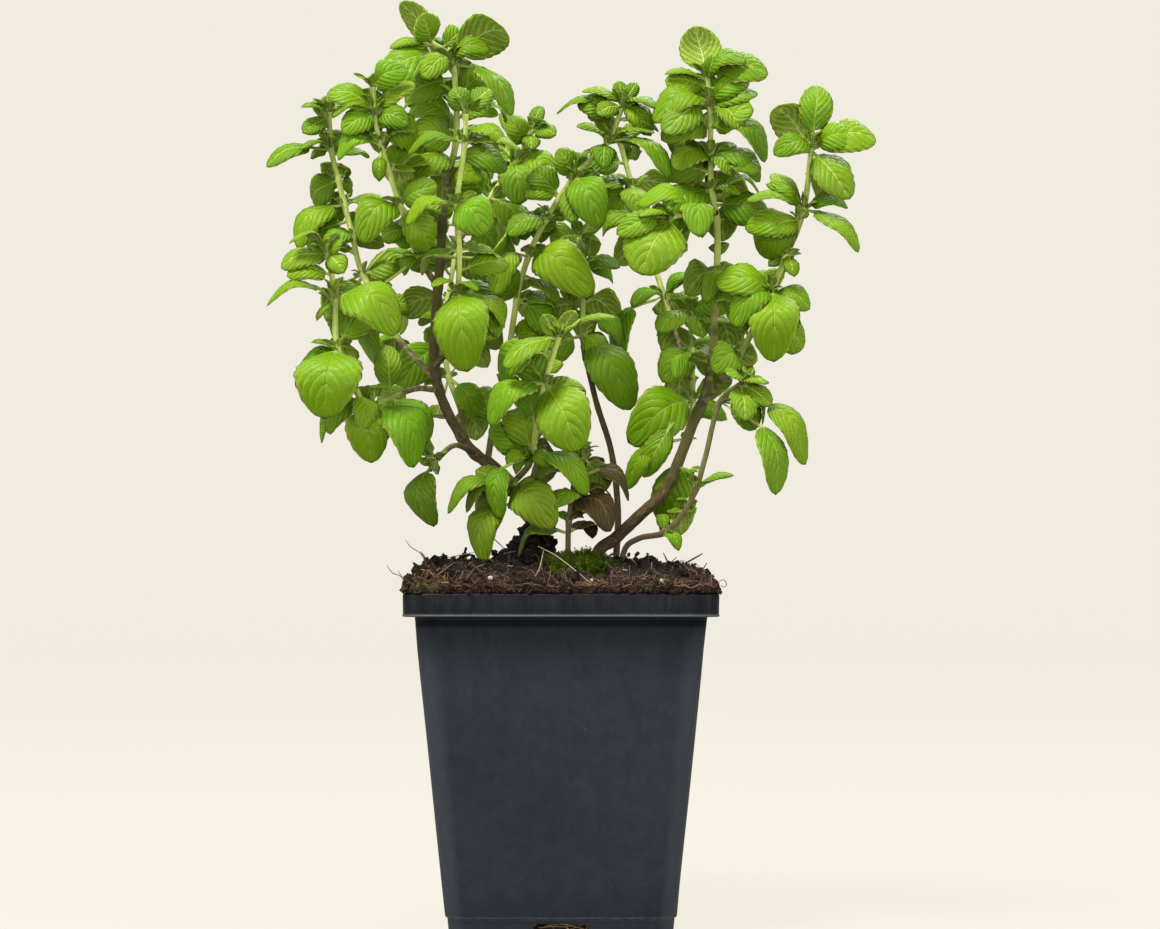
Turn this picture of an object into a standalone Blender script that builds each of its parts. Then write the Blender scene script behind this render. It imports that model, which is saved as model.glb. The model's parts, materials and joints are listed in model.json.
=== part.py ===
"""Potted calamint: a bushy young herb in a square tapering nursery pot.

The plant grows as it does in nature: brown woody stems stand in the root ball, green four-angled
shoots leave them at their nodes, and every node carries a pair of toothed leaves.
X is right, Y is away from the viewer, Z is up, and the origin is the middle of the pot's underside.
"""

import math

import bmesh
import bpy
from mathutils import Matrix, Vector, noise
from mathutils.bvhtree import BVHTree

MM = 0.001

# Pot
RIM_HALF = 45.0
RIM_TOP = 98.0
RIM_HEIGHT = 6.8
RIM_CORNER = 8.5
BODY_HALF_TOP = 41.6
BODY_HALF_BOTTOM = 32.8
BODY_CORNER = 6.5
WALL = 1.2
FOOT_HEIGHT = 5.6
FOOT_INSET = 0.6
CORNER_STEPS = 4
DRAIN_WIDTH = 16.0
DRAIN_HEIGHT = 4.2
DRAIN_REACH = 7.0

# Soil and moss
GAP = 0.3
SOIL_HALF = 44.4
SOIL_CORNER = 9.0
SOIL_EDGE = 100.3
SOIL_CROWN = 108.5
SOIL_RINGS = (1.0, 0.965, 0.9, 0.8, 0.67, 0.54, 0.41, 0.28, 0.15)
SOIL_SIDE_STEPS = 7
CLUMP_CENTRE = (-9.0, 5.0)
CLUMP_HEIGHT = 9.5
CLUMP_RADIUS = 7.0
MOSS_CENTRE = (4.0, -24.0)
MOSS_HALF = (9.5, 9.5)
MOSS_LIFT = 0.75
MOSS_THICK = 1.8
MOSS_RAGGED = 0.12
MOSS_CELLS = (8, 8)

# Plant
EYE_DISTANCE = 950.0
EYE_HEIGHT = 108.0
PICTURE_DEPTH = -40.0
FULLNESS = 1.35
BLADE = 0.6
BLADE_RATIO = 1.45
NECK_RANGE = (0.14, 0.6)
ARCH = 0.2
CURL = 0.3
WAVE = 0.02
PETIOLE_HALF = 0.4
ROOT_SINK = 0.15
PAIR_STEP = 1.7
PARTNER = 0.9
CLEARANCE = 0.45
WELDS = (0.03, 0.015, 0.006, 0.002, 0.0)
ROUTE_STEP = 10.5

# The way the upper face of a leaf looks
UP = (0.0, -0.5, 1.0)
FRONT = (0.0, -1.0, 0.35)
UP_FRONT = (0.0, -0.8, 0.8)
LEFT = (-0.7, -0.8, 0.3)
RIGHT = (0.7, -0.8, 0.3)
BACK = (0.0, 0.8, 0.6)

# Woody stems: name, girth at base and top, route. A point is across, up, depth in millimetres, as seen
# from the front: the function seen() spreads it to its depth.
WOODY = {
    "stem_left": dict(
        girth=(1.75, 1.2),
        route=[
            (-5, 88, 3), (-6.5, 110, 3), (-8, 117, 3), (-13.6, 127, 4), (-18, 133, 4), (-25, 138, 5),
            (-31, 147, 6), (-35, 157, 7), (-36, 167, 8), (-35, 182, 8), (-34, 195, 7), (-33.4, 205, 7),
        ],
    ),
    "stem_right": dict(
        girth=(1.9, 1.4),
        route=[
            (8, 88, -2), (10, 108, -2), (15.5, 113.5, -1), (22.3, 120, 0), (30, 128, 2), (37, 145, 3),
            (40.7, 153.4, 4),
        ],
    ),
    "stem_middle": dict(
        girth=(1.0, 0.8),
        route=[
            (14, 90, 10), (16, 114, 10), (15.8, 126, 11), (14, 139, 12), (10, 152, 14), (6.2, 168, 17),
        ],
    ),
}

# Leafy shoots. Each route point is a node: across, up, depth, and the leaves that grow there.
# A leaf is the place of its tip (across, up, depth), its width, and the way its upper face looks.
SHOOTS = {
    "shoot_left_crown": dict(
        carrier="stem_left", girth=(1.1, 0.85), leaf="leaf_young",
        route=[
            (-33.6, 202, 7, []),
            (-31.7, 216, 6, [(-48, 219, 0, 12, UP_FRONT), (-22.7, 215.6, 2, 7.5, FRONT)]),
            (-29.7, 226, 5, [(-19, 222, 15, 10, UP), (-42, 223, 13, 10, UP)]),
            (-29.7, 238, 4, [(-14.8, 232.6, 9, 8.5, UP), (-45, 236, 10, 9.5, UP)]),
            (-31.2, 249.5, 4, [
                (-15, 257.6, -2, 14, BACK), (-52, 242, -4, 14, UP_FRONT), (-13.6, 234.7, -3, 12, UP),
                (-39, 245, -7, 7, FRONT), (-26, 254, 0, 4, UP),
            ]),
            (-36.8, 253.6, 3, [
                (-45, 265, 6, 8.5, BACK), (-39, 261.6, -3, 8.5, FRONT), (-48.4, 253, -1, 6, UP),
            ]),
        ],
    ),
    "shoot_left_front": dict(
        carrier="stem_left", girth=(1, 0.85), leaf="leaf_young",
        route=[
            (-35.6, 162, 7.4, []),
            (-31, 169, -5, []),
            (-29.2, 183.4, -13, [
                (-26.6, 162.5, -24, 17, FRONT), (-16, 171.6, -3, 10.5, FRONT),
                (-36, 185.7, -19, 4.5, UP), (-24, 184.6, -19, 4.5, UP),
            ]),
            (-28.8, 195, -15, [(-40, 189, -11, 8.5, UP), (-18.5, 191, -9, 8.5, UP)]),
            (-29.5, 208, -16, [(-44, 203.7, -20, 10, UP), (-21, 201.3, -23, 13, FRONT)]),
            (-27.2, 225.3, -18, [(-43.6, 223.4, -20, 9.5, UP), (-11.6, 224.2, -19, 9.5, UP)]),
            (-27, 233.5, -18, [(-30.5, 241, -19, 6.5, FRONT), (-20, 241, -17, 7, FRONT)]),
        ],
    ),
    "shoot_far_left": dict(
        carrier="stem_left", girth=(1, 0.85), leaf="leaf_young",
        route=[
            (-36, 159, 7.4, []),
            (-46, 170, 16, []),
            (-56, 188, 25, [(-39.4, 193, 20, 6, UP)]),
            (-59, 199, 26, [(-67, 196, 19, 7, FRONT)]),
            (-61.3, 208, 27, [(-75.6, 197, 24, 10.5, UP), (-48, 205, 36, 10.5, UP)]),
            (-63, 215, 27, [(-71, 209, 32, 9.5, FRONT), (-59.5, 211, 33, 5.5, FRONT)]),
            (-65, 223.4, 27, [
                (-83.5, 219.7, 23, 9, UP), (-73.5, 224.5, 20, 5.5, UP), (-55, 222, 36, 8.5, UP),
            ]),
            (-65.7, 234, 26, [
                (-73.3, 236, 22, 5.5, UP), (-66, 239, 25, 4, FRONT), (-73, 228.5, 23, 6.5, FRONT),
            ]),
        ],
    ),
    "shoot_left_inner": dict(
        carrier="stem_left", girth=(1, 0.85), leaf="leaf_young",
        route=[
            (-35.2, 185, 8, []),
            (-40.2, 193.4, -1, [(-52.5, 161, -4, 10.5, LEFT)]),
            (-45.6, 208, -8, [(-57, 199, -15, 12, UP_FRONT), (-36.5, 195, -3, 10, FRONT)]),
            (-51.3, 226, -12, [
                (-63.5, 222, -14, 9, UP), (-41, 229, -14, 6.5, UP), (-51.5, 214.9, -15, 4, FRONT),
            ]),
            (-52.7, 234.5, -12, [
                (-65.7, 240.3, -15, 8.5, UP_FRONT), (-41.6, 242.6, -13, 9, UP_FRONT),
                (-43.3, 231, -17, 7, FRONT), (-61.7, 229, -17, 7.5, FRONT),
            ]),
            (-53.3, 241, -12, [(-57.5, 244.5, -14, 4, UP), (-49.5, 245, -12, 4, UP)]),
        ],
    ),
    "shoot_lower_left": dict(
        carrier="stem_left", girth=(1.05, 0.85), leaf="leaf_young",
        route=[
            (-35.4, 155.5, 6.9, []),
            (-42, 155.6, -3, []),
            (-54.4, 151.2, -14, [
                (-53.8, 136, -21, 13.5, FRONT), (-40.5, 135.4, -20, 14, RIGHT),
                (-49.5, 156.8, -18, 5.5, UP), (-56.5, 145, -23, 7, FRONT), (-69, 142, -11, 6.5, UP),
            ]),
            (-58.3, 156.3, -17, []),
            (-63.4, 167.6, -20, [
                (-66.8, 148.7, -29, 20, FRONT), (-55.5, 176.7, -9, 10.5, FRONT), (-70.5, 169.5, -22, 4, UP),
            ]),
            (-64, 182, -20, [
                (-46, 173.6, -26, 15.5, UP_FRONT), (-83.4, 181, -22, 9.5, UP), (-69.5, 175.5, -22, 4, UP),
            ]),
            (-66, 194, -19, [
                (-79.3, 190.6, -21, 9.5, UP_FRONT), (-61.5, 189, -23, 6, FRONT), (-62.5, 199, -20, 6, UP),
                (-70, 197.5, -17, 5.5, UP),
            ]),
        ],
    ),
    "shoot_left_rear": dict(
        carrier="stem_left", girth=(1, 0.85), leaf="leaf_young",
        route=[
            (-27.5, 142.2, 5.4, []),
            (-28.5, 150, 14, []),
            (-31.7, 159, 20, [(-22.4, 147, 15, 7.5, FRONT)]),
            (-33, 169, 25, [(-46, 156.5, 20, 12, FRONT), (-21, 163, 33, 10.5, BACK)]),
            (-32, 181, 30, [(-46, 178, 38, 12, BACK), (-17, 168, 26, 9, FRONT)]),
            (-30, 194, 34, [(-42, 190, 42, 10.5, BACK), (-20, 187, 42, 10.5, BACK)]),
            (-29, 206, 36, [(-37, 212, 39, 7, UP), (-22, 211, 41, 7, UP)]),
        ],
    ),
    "shoot_left_back": dict(
        carrier="stem_left", girth=(1, 0.85), leaf="leaf_young",
        route=[
            (-34.4, 190, 7.6, []),
            (-30.6, 195, 17, []),
            (-26, 202, 24, [(-14, 189.6, 15, 11, FRONT)]),
            (-20, 210, 28, [(-9.9, 199, 20, 10.5, UP_FRONT), (-30, 213, 38, 10.5, UP)]),
            (-13, 220, 31, [
                (-11.6, 209.2, 22, 10.5, FRONT), (-1.5, 215.4, 26, 10, UP_FRONT), (-20, 226, 38, 8.5, BACK),
            ]),
            (-8, 229, 31, [
                (-13.5, 233, 28, 6, UP_FRONT), (-1.5, 228, 28, 6, UP_FRONT), (-5.5, 236, 31, 4.5, FRONT),
                (-8.5, 224, 25, 5.5, FRONT),
            ]),
        ],
    ),
    "shoot_low_left": dict(
        carrier="stem_left", girth=(1, 0.85), leaf="leaf_old",
        route=[
            (-9.6, 120.4, 3.3, []),
            (-12, 124, -5, [(-23.5, 108.5, -12, 9.5, LEFT)]),
            (-14, 128, -10, [
                (-2.3, 117.8, -18, 13.5, FRONT), (-32.6, 122.5, -12, 9, UP), (-24, 133, -10, 6.5, FRONT),
                (-26, 122.5, -15, 4.5, UP),
            ]),
        ],
    ),
    "shoot_stalk_left": dict(
        carrier="stem_left", girth=(1, 0.85), leaf="leaf_old",
        route=[
            (-24, 137.4, 4.9, []),
            (-30, 139.8, -3, []),
            (-35, 136, -5, [(-37.7, 117.3, -8, 9.5, LEFT), (-33, 138, -9, 4, UP)]),
        ],
    ),
    "shoot_centre": dict(
        carrier="stem_left", girth=(1, 0.85), leaf="leaf_young",
        route=[
            (-14.5, 128.3, 4, []),
            (-9.7, 133.3, -5, []),
            (-8.3, 137, -9, [
                (-18.7, 120.4, -15, 7.5, LEFT), (7.6, 127.2, -15, 9.5, UP_FRONT),
                (-15.3, 135.4, -13, 5.5, UP), (-2.5, 134.5, -14, 4.5, FRONT), (-19.5, 146, -6, 9.5, FRONT),
            ]),
            (-5.7, 152.6, -18, []),
            (-4.6, 157.5, -20, [(5.3, 139.3, -28, 16.5, FRONT), (-20.7, 147, -24, 14, LEFT)]),
            (-0.6, 170.5, -24, [
                (-16.4, 162.5, -28, 10.5, UP), (15.5, 176.7, -26, 6.5, UP), (-18.7, 160, -14, 10.5, FRONT),
                (-5, 177, -25, 4.5, BACK), (4, 178, -24, 4.5, BACK),
            ]),
        ],
    ),
    "shoot_middle": dict(
        carrier="stem_left", girth=(1.1, 0.85), leaf="leaf_young",
        route=[
            (-20.8, 135.3, 4.4, []),
            (-19, 146, 9, []),
            (-15.9, 158.3, 12, []),
            (-12.5, 181, 14, [(-20, 190, 9, 10, FRONT), (-2, 176, 20, 9.5, UP)]),
            (-9.1, 193.5, 12, [(8.2, 184.3, 0, 15.5, FRONT), (-19, 184, 3, 8.5, UP)]),
            (-4, 204, 8, [(7, 207, 14, 8.5, UP), (-15, 200, 3, 9, UP_FRONT)]),
            (3.6, 215.7, 4, [
                (11, 203, -6, 12.5, FRONT), (-0.8, 223.4, 1, 7.5, FRONT), (3, 203.5, -5, 6.5, FRONT),
                (9, 224, -1, 4.5, UP),
            ]),
            (13.5, 226.2, 2, [
                (30.8, 217.1, -6, 10, UP), (4.8, 230.7, -2, 6.5, UP), (26, 229, -4, 7.5, UP),
                (12, 218.8, -5, 7, FRONT),
            ]),
            (17.8, 237, 1, [
                (6.2, 240.6, 0, 7.5, UP), (-1.5, 234.7, 5, 9, UP), (10.4, 234, -5, 5.5, FRONT),
                (16.3, 243, 0, 4.5, FRONT), (21.4, 242.6, 0, 4, FRONT), (25.7, 238.6, -1, 5.5, UP),
            ]),
        ],
    ),
    "shoot_middle_back": dict(
        carrier="stem_middle", girth=(1, 0.85), leaf="leaf_young",
        route=[
            (6.9, 164, 16.3, []),
            (6.2, 171, 17.6, [(12.7, 163, 11, 7, FRONT), (19.5, 151.3, 9, 15, FRONT)]),
            (6, 180, 19, [(-8, 172, 27, 10.5, BACK), (16, 176, 28, 10.5, BACK)]),
            (5, 190, 21, [(16.5, 191, 18, 8.5, UP_FRONT), (-5, 186, 28, 9.5, UP)]),
            (5, 199, 22, [
                (-2.5, 197.5, 15, 9.5, FRONT), (4, 191.5, 13, 6.5, FRONT), (12, 204, 27, 7, BACK),
            ]),
        ],
    ),
    "shoot_right_tall": dict(
        carrier="stem_right", girth=(1.45, 0.85), leaf="leaf_young",
        route=[
            (39.8, 151, 3.8, []),
            (42.5, 163, 4, [(53, 157, 12, 9, UP)]),
            (44.1, 188, 3, [
                (52, 178.7, -3, 13.5, FRONT), (41.8, 179.2, -6, 6.5, FRONT), (36, 184, 13, 10.5, BACK),
            ]),
            (44.1, 203.8, 2, [(56, 200, 7, 9.5, UP_FRONT), (34, 197, 9, 9, UP)]),
            (42.6, 212, 1, [
                (31.4, 201.5, -6, 11, UP_FRONT), (50.5, 211.5, -4, 6.5, UP), (52, 210, 12, 10.5, BACK),
            ]),
            (42.4, 222, 0, [
                (32, 219, -6, 9.5, UP), (48, 217, -6, 7.5, RIGHT), (56.5, 218, -5, 9.5, UP),
                (35, 219, 11, 9.5, BACK),
            ]),
            (42.1, 237, 0, [
                (26.6, 232.7, -7, 13, UP_FRONT), (29.5, 229, -11, 9.5, FRONT), (55.4, 240, -4, 9.5, UP),
                (50.6, 230, -8, 7, UP), (58.5, 221.4, -4, 12, RIGHT), (45, 231, 12, 10.5, BACK),
            ]),
            (41.3, 244.6, 0, [
                (37.9, 258.2, 2, 11, BACK), (58.5, 246, -2, 14, UP_FRONT), (43, 250, -4, 4.5, FRONT),
                (29.5, 245.6, -2, 7, UP),
            ]),
        ],
    ),
    "shoot_right_outer": dict(
        carrier="stem_right", girth=(1.05, 0.85), leaf="leaf_young",
        route=[
            (38.6, 149.5, 3.4, []),
            (50, 164.5, -5, [(43.3, 162, -12, 9, FRONT)]),
            (56.3, 176.7, -9, [(67, 171, -3, 8, UP), (45, 182, -2, 8, UP)]),
            (59.7, 184, -11, [
                (60.5, 164.8, -19, 15, FRONT), (48.6, 174.7, -17, 9.5, UP_FRONT), (51.5, 185.4, -14, 7, UP),
                (70.5, 179.3, -14, 7.5, UP_FRONT),
            ]),
            (63.9, 193.6, -12, [(66, 188, -16, 4.5, FRONT)]),
            (68.7, 206.7, -13, [
                (85, 195.5, -15, 11, UP), (52.9, 210, -17, 8.5, UP), (60, 217, -14, 7.5, UP),
                (55.5, 194, -9, 11, FRONT), (59.5, 201, -17, 7.5, FRONT),
            ]),
            (71, 224.8, -13, [
                (72.4, 242, -12, 9, FRONT), (89.1, 227, -15, 13, UP_FRONT), (81.8, 210, -18, 12, FRONT),
                (60.5, 235.5, -14, 13, BACK),
            ]),
        ],
    ),
    "shoot_right_inner": dict(
        carrier="stem_right", girth=(1, 0.85), leaf="leaf_young",
        route=[
            (31, 130, 2.1, []),
            (36.5, 142, 12, [(29.4, 117, 10, 11, FRONT), (18, 129, 8, 7.5, UP_FRONT)]),
            (37.3, 152.6, 16, [(19.5, 142, 8, 16, FRONT), (23.7, 132, 4, 7.5, FRONT)]),
            (37, 166.8, 19, [(29, 158.7, 11, 10, FRONT), (50, 160, 24, 10.5, UP)]),
            (36.5, 178, 20, [
                (28, 172.5, 13, 9, UP_FRONT), (40, 171, 12, 7.5, FRONT), (47, 174, 14, 9, UP),
                (35, 184, 22, 6, FRONT),
            ]),
        ],
    ),
    "shoot_right_back": dict(
        carrier="shoot_right_inner", girth=(1, 0.85), leaf="leaf_young",
        route=[
            (37.2, 158, 17.2, []),
            (33.6, 167, 26, []),
            (29.1, 182, 31, [
                (15, 164, 26, 9.5, LEFT), (20.3, 180, 24, 6.5, UP_FRONT), (36.5, 189, 29, 6, UP),
                (33, 176, 42, 10.5, BACK),
            ]),
            (24.5, 197, 34, [(16, 192, 43, 9.5, BACK), (35, 196, 42, 9.5, BACK)]),
            (20.1, 213.2, 35, [(22.3, 205, 28, 8.5, FRONT), (8, 214, 38, 9, UP), (30, 214, 43, 8.5, BACK)]),
            (16.5, 226, 34, [(9.5, 231, 36, 6, UP), (23.5, 231, 35, 6, UP)]),
        ],
    ),
    "shoot_right_side": dict(
        carrier="shoot_right_tall", girth=(1, 0.85), leaf="leaf_young",
        route=[
            (44, 205.6, 1.7, []),
            (38, 205.5, -9, [(22.3, 209.5, -13, 10.5, UP)]),
            (31.5, 204.5, -13, [
                (22.9, 188.8, -20, 18.5, FRONT), (22.4, 205.3, -19, 6.5, UP), (16, 200.2, -17, 7.5, FRONT),
            ]),
        ],
    ),
    "shoot_right_low": dict(
        carrier=None, girth=(1.05, 0.85), leaf="leaf_young",
        route=[
            (17, 93, -10, []),
            (17.6, 109, -10, []),
            (22, 113.4, -10.5, []),
            (29, 115, -11, [(33.5, 110.8, -15, 4.5, UP)]),
            (34.5, 120.5, -11.5, []),
            (38.2, 127.4, -11.5, [(48.6, 132, -13, 5.5, UP), (34, 134, -14, 4, UP)]),
            (41, 137, -11, []),
            (45, 152, -11, [(70.4, 136.6, -16, 11, UP), (62.2, 127.5, -21, 11, RIGHT)]),
            (52, 158, -15, [
                (47, 160.5, -19, 6.5, UP), (57.6, 157.6, -20, 7, UP), (52, 147.2, -21, 7.5, FRONT),
                (59.5, 151.5, -19, 6, FRONT),
            ]),
        ],
    ),
    "shoot_low_middle": dict(
        carrier=None, girth=(1, 0.85), leaf="leaf_old",
        route=[
            (2, 94, -9, []),
            (2, 112, -9, []),
            (2.2, 118, -10, [(-1.6, 120, -13, 3.5, UP), (6, 120, -13, 3.5, UP)]),
            (3, 124.5, -10, [(-3, 123.5, -17, 7.5, UP_FRONT), (14.5, 117, -15, 9.5, UP)]),
            (4, 131, -10, [(20, 126, -8, 7.5, UP), (-7.1, 131.2, -12, 7, UP)]),
            (6, 137, -10, [(-0.6, 136, -5, 6.5, UP), (12.4, 125.5, -3, 9, FRONT), (8, 141, -12, 4, UP)]),
        ],
    ),
}

# Leaf outlines for three sizes: along the blade (0 neck, 1 tip) and share of the ovate width, where
# shares that step in and out are the blunt teeth.
LARGE_LEAF = dict(margin=((0.16, 1.0), (0.4, 1.05), (0.6, 0.9), (0.8, 1.12)), rib=(0.0, 0.3, 0.66))
MEDIUM_LEAF = dict(margin=((0.2, 1.04), (0.5, 1.0), (0.78, 1.12)), rib=(0.0, 0.45))
SMALL_LEAF = dict(margin=((0.38, 1.05),), rib=())
LARGE_WIDTH = 13.5
MEDIUM_WIDTH = 8.0

# Turns that bend a leaf clear of its neighbours: round the stem, and up or down, in degrees
SWINGS = [(0, 0), (10, 0), (-10, 0), (0, 10), (0, -10), (14, 14), (-14, 14), (14, -14), (-14, -14),
          (22, 0), (-22, 0), (0, 22), (0, -22), (30, 15), (-30, 15), (30, -15), (-30, -15),
          (42, 0), (-42, 0), (0, 36), (0, -36)]

COLOURS = {
    "pot_plastic": ((0.033, 0.038, 0.047), 0.5),
    "peat": ((0.055, 0.034, 0.02), 0.95),
    "moss": ((0.06, 0.1, 0.015), 0.95),
    "woody_stem": ((0.1, 0.07, 0.035), 0.75),
    "leaf_young": ((0.11, 0.22, 0.015), 0.5),
    "leaf_old": ((0.05, 0.08, 0.02), 0.6),
}


def clear_scene():
    for item in list(bpy.data.objects):
        bpy.data.objects.remove(item, do_unlink=True)


def make_collection(name):
    collection = bpy.data.collections.new(name)
    bpy.context.scene.collection.children.link(collection)
    return collection


def make_material(name):
    colour, roughness = COLOURS[name]
    material = bpy.data.materials.new(name)
    material.use_nodes = True
    shader = material.node_tree.nodes["Principled BSDF"]
    shader.inputs["Base Color"].default_value = (*colour, 1.0)
    shader.inputs["Roughness"].default_value = roughness
    shader.inputs["Metallic"].default_value = 0.0
    return material


def add_object(name, mesh, collection, material=None):
    item = bpy.data.objects.new(name, mesh)
    collection.objects.link(item)
    if material:
        item.data.materials.append(material)
    return item


def bake_modifiers(item):
    """Replaces the object's mesh by its evaluated shape, and drops the modifiers."""
    bpy.context.view_layer.update()
    evaluated = item.evaluated_get(bpy.context.evaluated_depsgraph_get())
    baked = bpy.data.meshes.new_from_object(evaluated)
    item.modifiers.clear()
    item.data = baked


def seen(across, up, depth):
    """A point of the bush that is seen at (across, up) on the plane of the pot's front."""
    depth *= FULLNESS
    spread = (EYE_DISTANCE + depth) / (EYE_DISTANCE + PICTURE_DEPTH)
    return Vector((across * spread, depth, EYE_HEIGHT + (up - EYE_HEIGHT) * spread))


def smooth_route(points, step):
    """Points along a smooth curve through the given ones, about one step apart."""
    padded = [points[0] * 2 - points[1], *points, points[-1] * 2 - points[-2]]
    route = [points[0]]
    for before, start, end, after in zip(padded, padded[1:], padded[2:], padded[3:]):
        pieces = max(1, round((end - start).length / step))
        for k in range(1, pieces + 1):
            t = k / pieces
            route.append(0.5 * (2 * start + (end - before) * t
                                + (2 * before - 5 * start + 4 * end - after) * t ** 2
                                + (3 * start - before - 3 * end + after) * t ** 3))
    return route


def make_tube(name, route, girth, resolution, collection, material=None, extra=0.0):
    """A closed tapering tube along the route; extra swells and lengthens it, for a cutter."""
    route = [point.copy() for point in route]
    if extra:
        route[0] += (route[0] - route[1]).normalized() * extra
        route[-1] += (route[-1] - route[-2]).normalized() * extra
    curve = bpy.data.curves.new(name, "CURVE")
    curve.dimensions = "3D"
    curve.bevel_depth = MM
    curve.bevel_resolution = resolution
    curve.use_fill_caps = True
    spline = curve.splines.new("POLY")
    spline.points.add(len(route) - 1)
    for k, (point, place) in enumerate(zip(spline.points, route)):
        share = k / (len(route) - 1)
        point.co = (*(place * MM), 1.0)
        point.radius = girth[0] + (girth[1] - girth[0]) * share + extra
    guide = add_object(name + "_guide", curve, collection)
    bpy.context.view_layer.update()
    evaluated = guide.evaluated_get(bpy.context.evaluated_depsgraph_get())
    mesh = bpy.data.meshes.new_from_object(evaluated)
    bpy.data.objects.remove(guide, do_unlink=True)
    bm = bmesh.new()
    bm.from_mesh(mesh)
    bmesh.ops.remove_doubles(bm, verts=bm.verts, dist=0.00001)
    bmesh.ops.recalc_face_normals(bm, faces=bm.faces)
    bm.to_mesh(mesh)
    bm.free()
    mesh.name = name
    mesh.materials.clear()
    return add_object(name, mesh, collection, material)


def leaf_form(width):
    if width >= LARGE_WIDTH:
        return LARGE_LEAF
    return MEDIUM_LEAF if width >= MEDIUM_WIDTH else SMALL_LEAF


def leaf_surface(root, tip, width, face):
    """The leaf's middle surface as points and triangles: stalk, then an ovate blade whose rib arches and
    whose toothed edges roll down."""
    chord = tip - root
    length = chord.length
    along = chord / length
    up = Vector(face)
    up = (up - along * up.dot(along)).normalized()
    side = along.cross(up)
    form = leaf_form(width)
    neck = min(max(1.0 - BLADE_RATIO * width / length, NECK_RANGE[0]), NECK_RANGE[1])

    def place(u, across, wave):
        rise = ARCH * length * math.sin(math.pi * u ** 1.15) - CURL * abs(across) + wave
        return root + along * (length * u) + side * across + up * rise

    def half_width(v, share):
        ovate = math.sin(math.pi * v ** 0.72) ** 0.75 if 0 < v < 1 else 0.0
        return max(PETIOLE_HALF, 0.5 * width * ovate * share)

    tip_index = 0
    points = [place(1.0, 0.0, 0.0)]
    rib = []
    for v in form["rib"]:
        u = neck + (1 - neck) * v
        rib.append((u, len(points)))
        points.append(place(u, 0.0, 0.0))
    margins = {}
    for hand in (-1, 1):
        margin = [(0.0, len(points)), (neck, len(points) + 1)]
        points.append(place(0.0, hand * PETIOLE_HALF, 0.0))
        points.append(place(neck, hand * PETIOLE_HALF, 0.0))
        for k, (v, share) in enumerate(form["margin"]):
            u = neck + (1 - neck) * v
            wave = WAVE * width * (1 if k % 2 else -1)
            margin.append((u, len(points)))
            points.append(place(u, hand * half_width(v, share), wave))
        margins[hand] = margin + [(1.0, tip_index)]
    if not rib:
        return points, strip(margins[-1], margins[1])
    middle = rib + [(1.0, tip_index)]
    right = strip(middle, margins[1])
    left = [corners[::-1] for corners in strip(middle, margins[-1])]
    stalk = (margins[-1][0][1], rib[0][1], margins[1][0][1])
    return points, right + left + [stalk]


def strip(left, right):
    """Triangles between two rows of points that run the same way and end in the same tip."""
    triangles = []
    a = b = 0
    while a < len(left) - 1 or b < len(right) - 1:
        left_is_next = b == len(right) - 1 or (a < len(left) - 1 and left[a + 1][0] <= right[b + 1][0])
        if left_is_next:
            corners = (left[a][1], left[a + 1][1], right[b][1])
            a += 1
        else:
            corners = (left[a][1], right[b + 1][1], right[b][1])
            b += 1
        if len(set(corners)) == 3:
            triangles.append(corners)
    return triangles


def shell_tree(points, triangles, half):
    """A search tree of the surface thickened to both sides, to test what it crosses."""
    normals = [Vector() for _ in points]
    for a, b, c in triangles:
        normal = (points[b] - points[a]).cross(points[c] - points[a])
        for k in (a, b, c):
            normals[k] += normal
    offsets = [n.normalized() * half for n in normals]
    count = len(points)
    verts = [p + o for p, o in zip(points, offsets)] + [p - o for p, o in zip(points, offsets)]
    faces = list(triangles) + [(c + count, b + count, a + count) for a, b, c in triangles]
    used = {}
    for a, b, c in triangles:
        for edge in ((a, b), (b, c), (c, a)):
            used[edge] = True
    for a, b in used:
        if (b, a) not in used:
            faces.append((b, a, a + count))
            faces.append((b, a + count, b + count))
    return BVHTree.FromPolygons(verts, faces, all_triangles=True)


def mesh_tree(item):
    verts = [v.co / MM for v in item.data.vertices]
    faces = [tuple(p.vertices) for p in item.data.polygons]
    return BVHTree.FromPolygons(verts, faces)


def opposite(root, tip, face, stem):
    """The partner on the other side of the stem."""
    reach = tip - root
    lift = stem * reach.dot(stem)
    return root + lift - (reach - lift) * PARTNER, (-face[0], -face[1], face[2])


def shoot_leaves(name, route):
    """Every leaf of a shoot as root, tip, width and face; a node with one leaf gets its partner.
    A node's second and third pair grow a little lower on the stem."""
    nodes = SHOOTS[name]["route"]
    places = [seen(*node[:3]) for node in nodes]
    leaves = []
    for k, node in enumerate(nodes):
        stem = (places[min(k + 1, len(nodes) - 1)] - places[max(k - 1, 0)]).normalized()
        grown = [(seen(*leaf[:3]), leaf[3], leaf[4]) for leaf in node[3]]
        if len(grown) == 1:
            tip, face = opposite(places[k], grown[0][0], grown[0][2], stem)
            grown.append((tip, grown[0][1] * PARTNER, face))
        here = min(range(1, len(route)), key=lambda i: (route[i] - places[k]).length)
        down = (route[here - 1] - route[here]).normalized()
        for i, (tip, width, face) in enumerate(grown):
            heart = places[k] + down * (i // 2) * PAIR_STEP
            root = heart + (tip - heart).normalized() * ROOT_SINK
            leaves.append(dict(shoot=name, root=root, tip=tip, width=width, face=face))
    return leaves


def swung(leaf, swing):
    """The leaf's tip and face after a turn round the upright and then up or down."""
    turn = Matrix.Rotation(math.radians(swing[0]), 3, "Z")
    reach = turn @ (leaf["tip"] - leaf["root"])
    level = reach.cross(Vector((0, 0, 1)))
    tilt = Matrix.Rotation(math.radians(swing[1]), 3, level) if level.length > 0.01 else Matrix.Identity(3)
    return leaf["root"] + tilt @ reach, tilt @ turn @ Vector(leaf["face"])


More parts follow.
